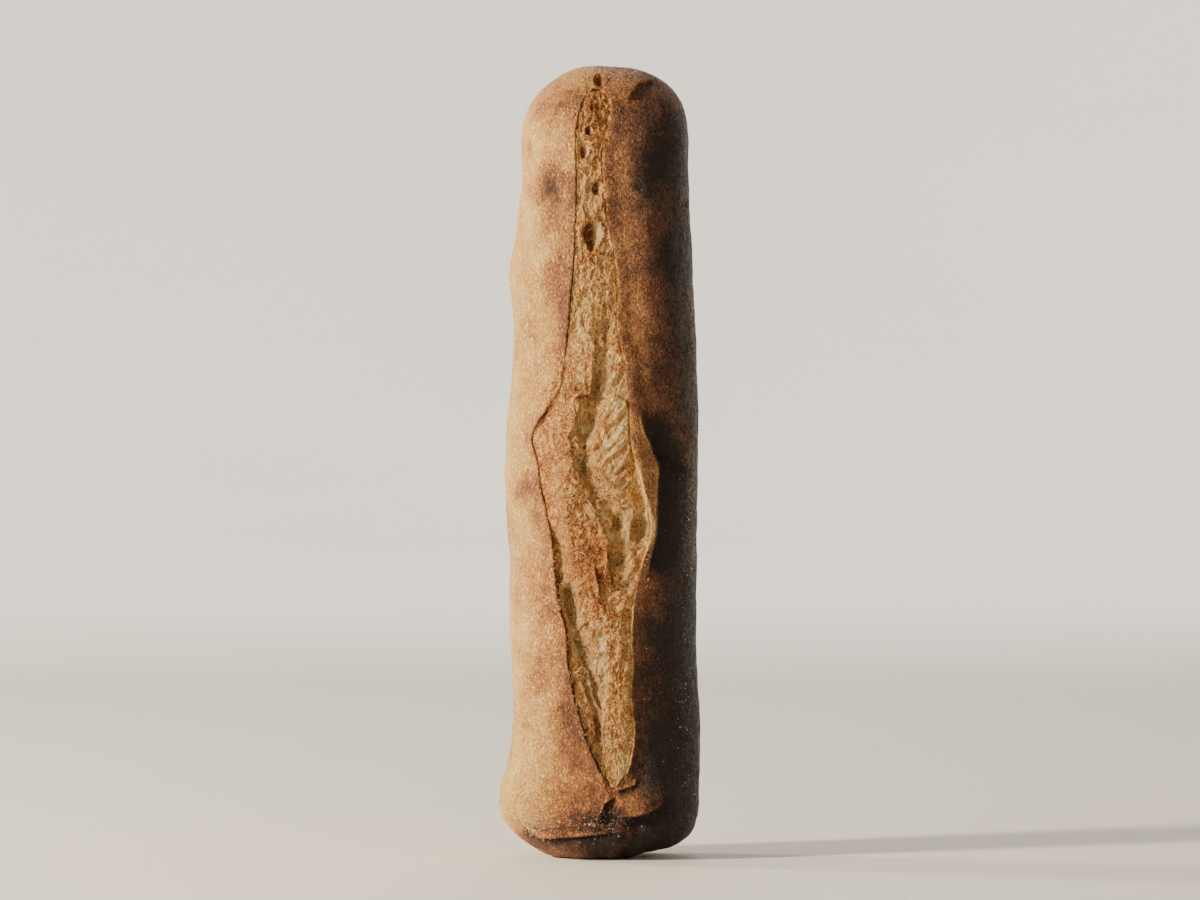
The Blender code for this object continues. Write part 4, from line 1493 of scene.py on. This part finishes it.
    def build(self, solid: BVHTree) -> bpy.types.Object:
        """Shapes the crumb over the solid and closes it behind.

        Args:
            solid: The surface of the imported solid.

        Returns:
            The crumb's object.
        """
        bed, order, heights, offsets = self.grid()
        depth = self.base(solid, heights, offsets)
        lift, toast, hollow = self.relief(heights.ravel(), offsets.ravel())
        shape = heights.shape
        left, right = self.slash.lips(heights)
        healed = self.slash.healed(heights)
        calm = smooth(-0.4 * MM, 0.7 * MM, offsets - left + 5.5 * MM * healed)
        calm *= smooth(-0.6 * MM, 1.2 * MM, right - offsets)
        calm *= smooth(0, 6 * MM, heights - self.slash.foot) * smooth(0, 5 * MM, self.slash.top - heights)
        beyond_left = left - 3.6 * MM * healed - offsets
        beyond_right = offsets - right
        tight = MM * (0.9 + 0.5 * wander(heights, 3.5 * MM, 7.7)) * smooth(120 * MM, 160 * MM, heights)
        dive = smooth(-0.3 * MM, 1.7 * MM, beyond_left - tight) + smooth(0, 1.6 * MM, beyond_right)
        dive += 1 - smooth(0, 3 * MM, heights - self.slash.foot)
        dive += 1 - smooth(0, 3 * MM, self.slash.top - heights)
        forward = depth - lift.reshape(shape) * calm - 0.12 * MM * healed + 2.6 * MM * np.clip(dive, 0, 1.5)
        points = np.empty((len(order), 3))
        points[order] = np.stack([offsets.ravel() + AXIS.x, forward.ravel(), heights.ravel()], axis=1)
        move_to(bed, points)
        for name, values in ((Attribute.TOAST, toast), (Attribute.HOLLOW, hollow)):
            sorted_values = np.empty(len(order))
            sorted_values[order] = values
            write_attribute(bed, name, sorted_values)
        self.close(bed)
        return bed

    def close(self, bed: bpy.types.Object) -> None:
        """Draws the rim of the crumb back into the loaf and caps it there.

        Args:
            bed: The crumb.
        """
        select_only(bed)
        bpy.ops.object.mode_set(mode="EDIT")
        bpy.ops.mesh.select_mode(type="EDGE")
        bpy.ops.mesh.select_all(action="DESELECT")
        bpy.ops.mesh.select_non_manifold()
        bpy.ops.mesh.extrude_region_move(TRANSFORM_OT_translate={"value": (0, self.back, 0)})
        bpy.ops.mesh.edge_face_add()
        bpy.ops.mesh.quads_convert_to_tris()
        bpy.ops.mesh.select_all(action="SELECT")
        bpy.ops.mesh.normals_make_consistent(inside=False)
        bpy.ops.object.mode_set(mode="OBJECT")

    def dress(self, bed: bpy.types.Object) -> None:
        """Gives the crumb its finish and ties it to the frame.

        Args:
            bed: The crumb.
        """
        bed.data.materials.append(self.finish.material())
        bed.data.shade_smooth()
        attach(bed, "root")
        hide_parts("loaf")


@dataclass
class Scatter:
    """Small things that lie on the loaf: curled gluten strands, torn flakes and flour, by a seeded draw.

    They lie on the finished surface, and the strength of each spot is how many are drawn about it.
    """

    surface: BVHTree
    slash: Slash
    curled: tuple[Spot, ...] = spots(
        (197, -6.5, 8, 4, 260), (182, -9, 7, 3, 90), (131, 12, 10, 6, 260), (152, 10, 13, 6, 160),
        (218, 0, 16, 3, 80), (321, -7, 5, 3, 40), (300, -4, 30, 5, 110), (255, -2, 22, 6, 110),
        (136, -17, 14, 2, 110), (110, -11, 16, 3, 110), (84, -3, 22, 5, 130), (50, 3, 12, 4, 70),
        (190, 6, 20, 7, 90), (165, 2, 12, 5, 120), (165, -12, 30, 6, 120),
    )  # fmt: skip
    flaked: tuple[Spot, ...] = spots(
        (165, -5, 34, 0.9, 34, -10), (14, -30, 4, 6, 10),
        (150, 21, 22, 0.8, 26), (60, 13.6, 24, 0.6, 22), (300, 1.6, 40, 0.6, 30), (320, -10.6, 40, 0.5, 26),
    )  # fmt: skip
    floured: tuple[Spot, ...] = spots(
        (18, -29, 7, 8, 300), (18, 2, 6, 10, 130), (20, 8, 2, 2, 10), (150, 40, 60, 4, 130),
        (250, 43, 50, 2, 60),
        (60, 37, 40, 5, 70), (357, 0, 3, 16, 160), (150, -10, 150, 34, 400), (16, -12, 5, 16, 130),
    )  # fmt: skip
    is_bare: Callable[[float, float], bool] = field(init=False)
    draw: np.random.Generator = field(init=False)

    def __post_init__(self) -> None:
        """Starts the draw and readies the test for bare crumb."""
        self.is_bare = self.slash.is_bare()
        self.draw = np.random.default_rng(SEED)

    def place(self, spot: Spot) -> tuple[float, float]:
        """Draws a random place about a spot.

        Args:
            spot: The spot.

        Returns:
            A height and an offset, in millimetres.
        """
        up, across = self.draw.normal(0, 0.6, 2)
        turn = math.radians(spot.lean)
        up, across = up * spot.tall, across * spot.wide
        return (
            spot.height + up * math.cos(turn) - across * math.sin(turn),
            spot.offset + across * math.cos(turn) + up * math.sin(turn),
        )

    def touch(self, height: float, offset: float) -> tuple[Vector, Vector] | None:
        """Finds the front of the loaf at a place.

        Args:
            height: The place's height, in millimetres.
            offset: Its offset, in millimetres.

        Returns:
            The point on the front of the loaf and its normal, or nothing beyond the loaf.
        """
        start = Vector((offset * MM + AXIS.x, -1, height * MM))
        hit, normal, _, _ = self.surface.ray_cast(start, TOWARDS_BACK)
        return (hit, normal) if hit else None

    @staticmethod
    def joined(
        name: str, shapes: Sequence[np.ndarray], faces: Sequence[Sequence[int]], material: bpy.types.Material
    ) -> bpy.types.Object:
        """Joins many copies of one shape to one object that rides with the loaf.

        Args:
            name: The object's name.
            shapes: The vertices of each copy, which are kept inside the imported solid's box.
            faces: The faces that all copies share, as indices of their vertices.
            material: Its material.

        Returns:
            The object.
        """
        vertices = boxed(np.concatenate(shapes))
        step = len(shapes[0])
        all_faces = [[i + copy * step for i in face] for copy in range(len(shapes)) for face in faces]
        mesh = bpy.data.meshes.new(name)
        mesh.from_pydata(vertices.tolist(), [], all_faces)
        mesh.materials.append(material)
        mesh.shade_smooth()
        obj = bpy.data.objects.new(name, mesh)
        bpy.context.scene.collection.objects.link(obj)
        select_only(obj)
        bpy.ops.object.mode_set(mode="EDIT")
        bpy.ops.mesh.select_all(action="SELECT")
        bpy.ops.mesh.normals_make_consistent(inside=False)
        bpy.ops.object.mode_set(mode="OBJECT")
        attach(obj, "root")
        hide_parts("loaf")
        LOG.info("%s: %d copies, %d faces", name, len(shapes), len(all_faces))
        return obj

    def strands(self, material: bpy.types.Material) -> bpy.types.Object:
        """Lays curled strands, each a tapered tube of five sides that follows the torn crumb.

        Args:
            material: Their material.

        Returns:
            The joined strands.
        """
        rings, sides = 8, 5
        shapes = []
        for spot in self.curled:
            for _ in range(int(spot.strength)):
                height, offset = self.place(spot)
                radius = self.draw.uniform(1.2, 6)
                sweep = self.draw.uniform(1.8, 5.5) / radius * self.draw.choice((-1, 1))
                heading = self.draw.uniform(0, 2 * math.pi)
                turns = heading + sweep * np.linspace(0, 1, rings)
                path = []
                for turn in turns:
                    up = height + radius * (math.sin(turn) - math.sin(heading))
                    across = offset + radius * (math.cos(turn) - math.cos(heading))
                    found = self.touch(up, across)
                    path.append(found[0] if found and self.is_bare(up, across) else None)
                if any(point is None for point in path):
                    continue
                line = np.array(path)
                if np.ptp(line[:, 1]) > 2.5 * MM:
                    continue
                line[1:-1, 1] = (line[:-2, 1] + line[1:-1, 1] + line[2:, 1]) / 3
                arch = np.sin(np.linspace(0, math.pi, rings))
                line[:, 1] -= MM * (0.02 + self.draw.uniform(0.05, 0.6) * arch)
                thick = MM * self.draw.uniform(0.08, 0.18) * (0.35 + 0.65 * arch)
                shapes.append(self.tube(line, thick, sides))
        faces = [list(range(sides)), list(range((rings - 1) * sides, rings * sides))]
        for ring in range(rings - 1):
            for side in range(sides):
                near, after = ring * sides, (side + 1) % sides
                faces.append([near + side, near + after, near + sides + after, near + sides + side])
        return self.joined("gluten_strands", shapes, faces, material)

    @staticmethod
    def tube(line: np.ndarray, thick: np.ndarray, sides: int) -> np.ndarray:
        """Puts a ring of points about each point of a line.

        Args:
            line: The points along its middle.
            thick: Its radius at each, in metres.
            sides: How many points a ring has.

        Returns:
            The points of all the rings, in order.
        """
        ahead = np.gradient(line, axis=0)
        ahead /= np.linalg.norm(ahead, axis=1)[:, None]
        across = np.cross(ahead, (0.0, 1.0, 0.0))
        across /= np.maximum(np.linalg.norm(across, axis=1), 1e-9)[:, None]
        upward = np.cross(across, ahead)
        turns = np.arange(sides) / sides * 2 * math.pi
        rim = across[:, None] * np.cos(turns)[None, :, None] + upward[:, None] * np.sin(turns)[None, :, None]
        return (line[:, None] + thick[:, None, None] * rim).reshape(-1, 3)

    @staticmethod
    def pattern(add: str, **sizes) -> tuple[np.ndarray, list[list[int]]]:
        """Reads a primitive, which is removed again.

        Args:
            add: The primitive's name.
            sizes: What it is added with.

        Returns:
            Its vertices, and its faces as indices of them.
        """
        getattr(bpy.ops.mesh, f"primitive_{add}_add")(**sizes)
        model = bpy.context.object
        vertices, faces = places(model), [list(face.vertices) for face in model.data.polygons]
        bpy.data.objects.remove(model)
        return vertices, faces

    def settled(
        self, shape: np.ndarray, place: Vector, normal: Vector, tilt: float, sink: float
    ) -> np.ndarray:
        """Lays a shape on the surface, turned at random.

        Args:
            shape: The vertices of the shape, about its middle.
            place: Where it lies.
            normal: The surface's normal there.
            tilt: By how many degrees it may lean.
            sink: The share of its height that is sunk in.

        Returns:
            Its vertices as laid.
        """
        upright = Vector(normal).to_track_quat("Z", "Y").to_matrix()
        spin = Matrix.Rotation(self.draw.uniform(0, 2 * math.pi), 3, "Z")
        lean = Matrix.Rotation(math.radians(self.draw.uniform(-tilt, tilt)), 3, "X")
        turned = shape @ np.array(upright @ spin @ lean).T
        return turned + np.array(place + normal * float(np.ptp(shape[:, 2])) * (0.5 - sink))

    def flakes(self, material: bpy.types.Material) -> bpy.types.Object:
        """Lays torn scraps of crust and crumb: uneven six-sided plates that stand off the lips.

        Args:
            material: Their material.

        Returns:
            The joined scraps.
        """
        plate, faces = self.pattern("cylinder", vertices=6, radius=1, depth=1)
        shapes, toast = [], []
        spread = [self.place(spot) for spot in self.flaked for _ in range(int(spot.strength))]
        along = self.draw.uniform(48, 142, 120)
        lip = self.slash.lips(along * MM)[0] / MM + self.draw.normal(0.2, 0.35, len(along))
        for place in spread + list(zip(along.tolist(), lip.tolist())):
            found = self.touch(*place)
            if not found:
                continue
            size = MM * self.draw.uniform(0.35, 1.1)
            shape = plate * (size, size * self.draw.uniform(0.3, 0.8), MM * self.draw.uniform(0.16, 0.32))
            shape = shape * (1 + self.draw.uniform(-0.35, 0.35, (len(shape), 1)) * (1, 1, 0))
            shape[:, 2] += 0.3 * size * ((shape[:, 0] / size) ** 2 - 0.4)
            shapes.append(self.settled(shape, found[0], found[1], 55, 0.1))
            toast += [self.draw.uniform(0.15, 0.9)] * len(plate)
        scraps = self.joined("torn_flakes", shapes, faces, material)
        write_attribute(scraps, Attribute.TOAST, np.array(toast))
        return scraps

    def flour(self, material: bpy.types.Material) -> bpy.types.Object:
        """Strews grains of flour and semolina, thickest in the folds at the foot.

        Args:
            material: Their material.

        Returns:
            The joined grains.
        """
        grain, faces = self.pattern("ico_sphere", subdivisions=1, radius=1)
        shapes = []
        for spot in self.floured:
            for _ in range(int(spot.strength)):
                found = self.touch(*self.place(spot))
                if not found:
                    continue
                size = MM * min(self.draw.lognormal(math.log(0.13), 0.4), 0.36)
                shape = grain * size * self.draw.uniform(0.7, 1.2, 3)
                shapes.append(self.settled(shape, found[0], found[1], 90, 0.25))
        return self.joined("flour_grains", shapes, faces, material)


# The studio


@dataclass(frozen=True)
class Studio:
    """A pale round sweep, a soft key light from the left, a weak fill, and the camera.

    The camera faces the target from that distance, raised by elevation in degrees, and frame_width is how
    much it sees from side to side at the target.
    """

    floor_radius: float = 5.2
    wall_height: float = 3.2
    sweep_radius: float = 1.8
    target: tuple[float, float, float] = (0, 0, 185.4 * MM)
    distance: float = 3.4
    elevation: float = 1.6
    frame_width: float = 545.4 * MM

    def sweep(self) -> bpy.types.Object:
        """Lays the floor, which curves up into a wall all round.

        Returns:
            The sweep.
        """
        bpy.ops.mesh.primitive_circle_add(vertices=96, radius=self.floor_radius, fill_type="NGON")
        floor = bpy.context.object
        floor.name = floor.data.name = "studio_sweep"
        bpy.ops.object.mode_set(mode="EDIT")
        bpy.ops.mesh.select_mode(type="EDGE")
        bpy.ops.mesh.select_all(action="SELECT")
        bpy.ops.mesh.extrude_edges_move(TRANSFORM_OT_translate={"value": (0, 0, self.wall_height)})
        bpy.ops.object.mode_set(mode="OBJECT")
        for edge in floor.data.edges:
            ends = [floor.data.vertices[i].co.z for i in edge.vertices]
            edge.select = max(ends) < MM
        bpy.ops.object.mode_set(mode="EDIT")
        bpy.ops.mesh.bevel(offset=self.sweep_radius, segments=14, affect="EDGES", clamp_overlap=False)
        bpy.ops.object.mode_set(mode="OBJECT")
        floor.data.materials.append(PalePaper().material())
        floor.data.shade_smooth()
        return floor

    def lamp(
        self,
        name: str,
        place: tuple[float, float, float],
        size: float,
        power: float,
        colour: str,
        aim: tuple[float, float, float],
    ) -> None:
        """Adds a soft square lamp that faces a place.

        Args:
            name: Its name.
            place: Where it hangs.
            size: The length of its sides.
            power: Its power in watts.
            colour: Six hex digits.
            aim: What it faces.
        """
        bpy.ops.object.light_add(type="AREA", location=place)
        lamp = bpy.context.object
        lamp.name = name
        lamp.data.size = size
        lamp.data.energy = power
        lamp.data.color = linear(colour)[:3]
        lamp.rotation_euler = (Vector(aim) - Vector(place)).to_track_quat("-Z", "Y").to_euler()

    def light(self) -> None:
        """The key from the left, two lamps on the backdrop and the pale room."""
        self.lamp("key", (-1.9, -0.9, 0.95), 0.26, 92, "FFEFD4", self.target)
        self.lamp("rim", (-2.1, 0.8, 0.9), 0.3, 40, "FFF0D8", self.target)
        self.lamp("floor_light", (0, 2.3, 2.3), 1.2, 26, "FFFAF2", (0, 2.3, 0))
        for name, side in (("wall_left", -1.6), ("wall_right", 1.6)):
            self.lamp(name, (side, 2.2, 1.9), 1.4, 60, "FFFAF2", (side, 5.2, 0.5))
        world = bpy.data.worlds.new("room")
        world.use_nodes = True
        background = world.node_tree.nodes["Background"]
        background.inputs["Color"].default_value = linear("EDEAE4")
        background.inputs["Strength"].default_value = 0.32
        bpy.context.scene.world = world

    def camera(self) -> None:
        """The camera, level with the middle of the loaf and straight in front of the slash."""
        data = bpy.data.cameras.new("camera")
        data.sensor_width = 36
        data.lens = 36 * self.distance / self.frame_width
        camera = bpy.data.objects.new("camera", data)
        bpy.context.scene.collection.objects.link(camera)
        tilt = math.radians(self.elevation)
        back = Vector((0, -math.cos(tilt), math.sin(tilt)))
        camera.location = Vector(self.target) + back * self.distance
        camera.rotation_euler = (-back).to_track_quat("-Z", "Y").to_euler()
        data.clip_start = 0.05
        bpy.context.scene.camera = camera


def surface_of(*objects: bpy.types.Object) -> BVHTree:
    """Joins the surfaces of some objects at the origin, for rays to be cast at.

    Args:
        objects: The objects.

    Returns:
        Their surface as one tree.
    """
    reader = bmesh.new()
    for obj in objects:
        reader.from_mesh(obj.data)
    tree = BVHTree.FromBMesh(reader)
    reader.free()
    return tree


def main() -> None:
    """Builds the loaf and its studio."""
    logging.basicConfig(level=logging.INFO, format="%(message)s")
    slash = Slash()
    crust = CrustShell(slash, BakedCrust())
    shell = crust.build()
    crumb = CrumbBed(slash, TornCrumb())
    bed = crumb.build(surface_of(shell))
    crumb.dress(bed)
    crust.roughen(shell)
    crust.lighten(shell)
    crust.colour(shell)
    crust.dress(shell)
    for piece in (bed, shell):
        LOG.info("%s: %d triangles", piece.name, triangles(piece))
    scatter = Scatter(surface_of(bed, shell), slash)
    scatter.strands(Gluten().material())
    scatter.flakes(TornCrumb().material())
    scatter.flour(Flour().material())
    studio = Studio()
    studio.sweep()
    studio.light()
    studio.camera()


if __name__ == "__main__":
    main()
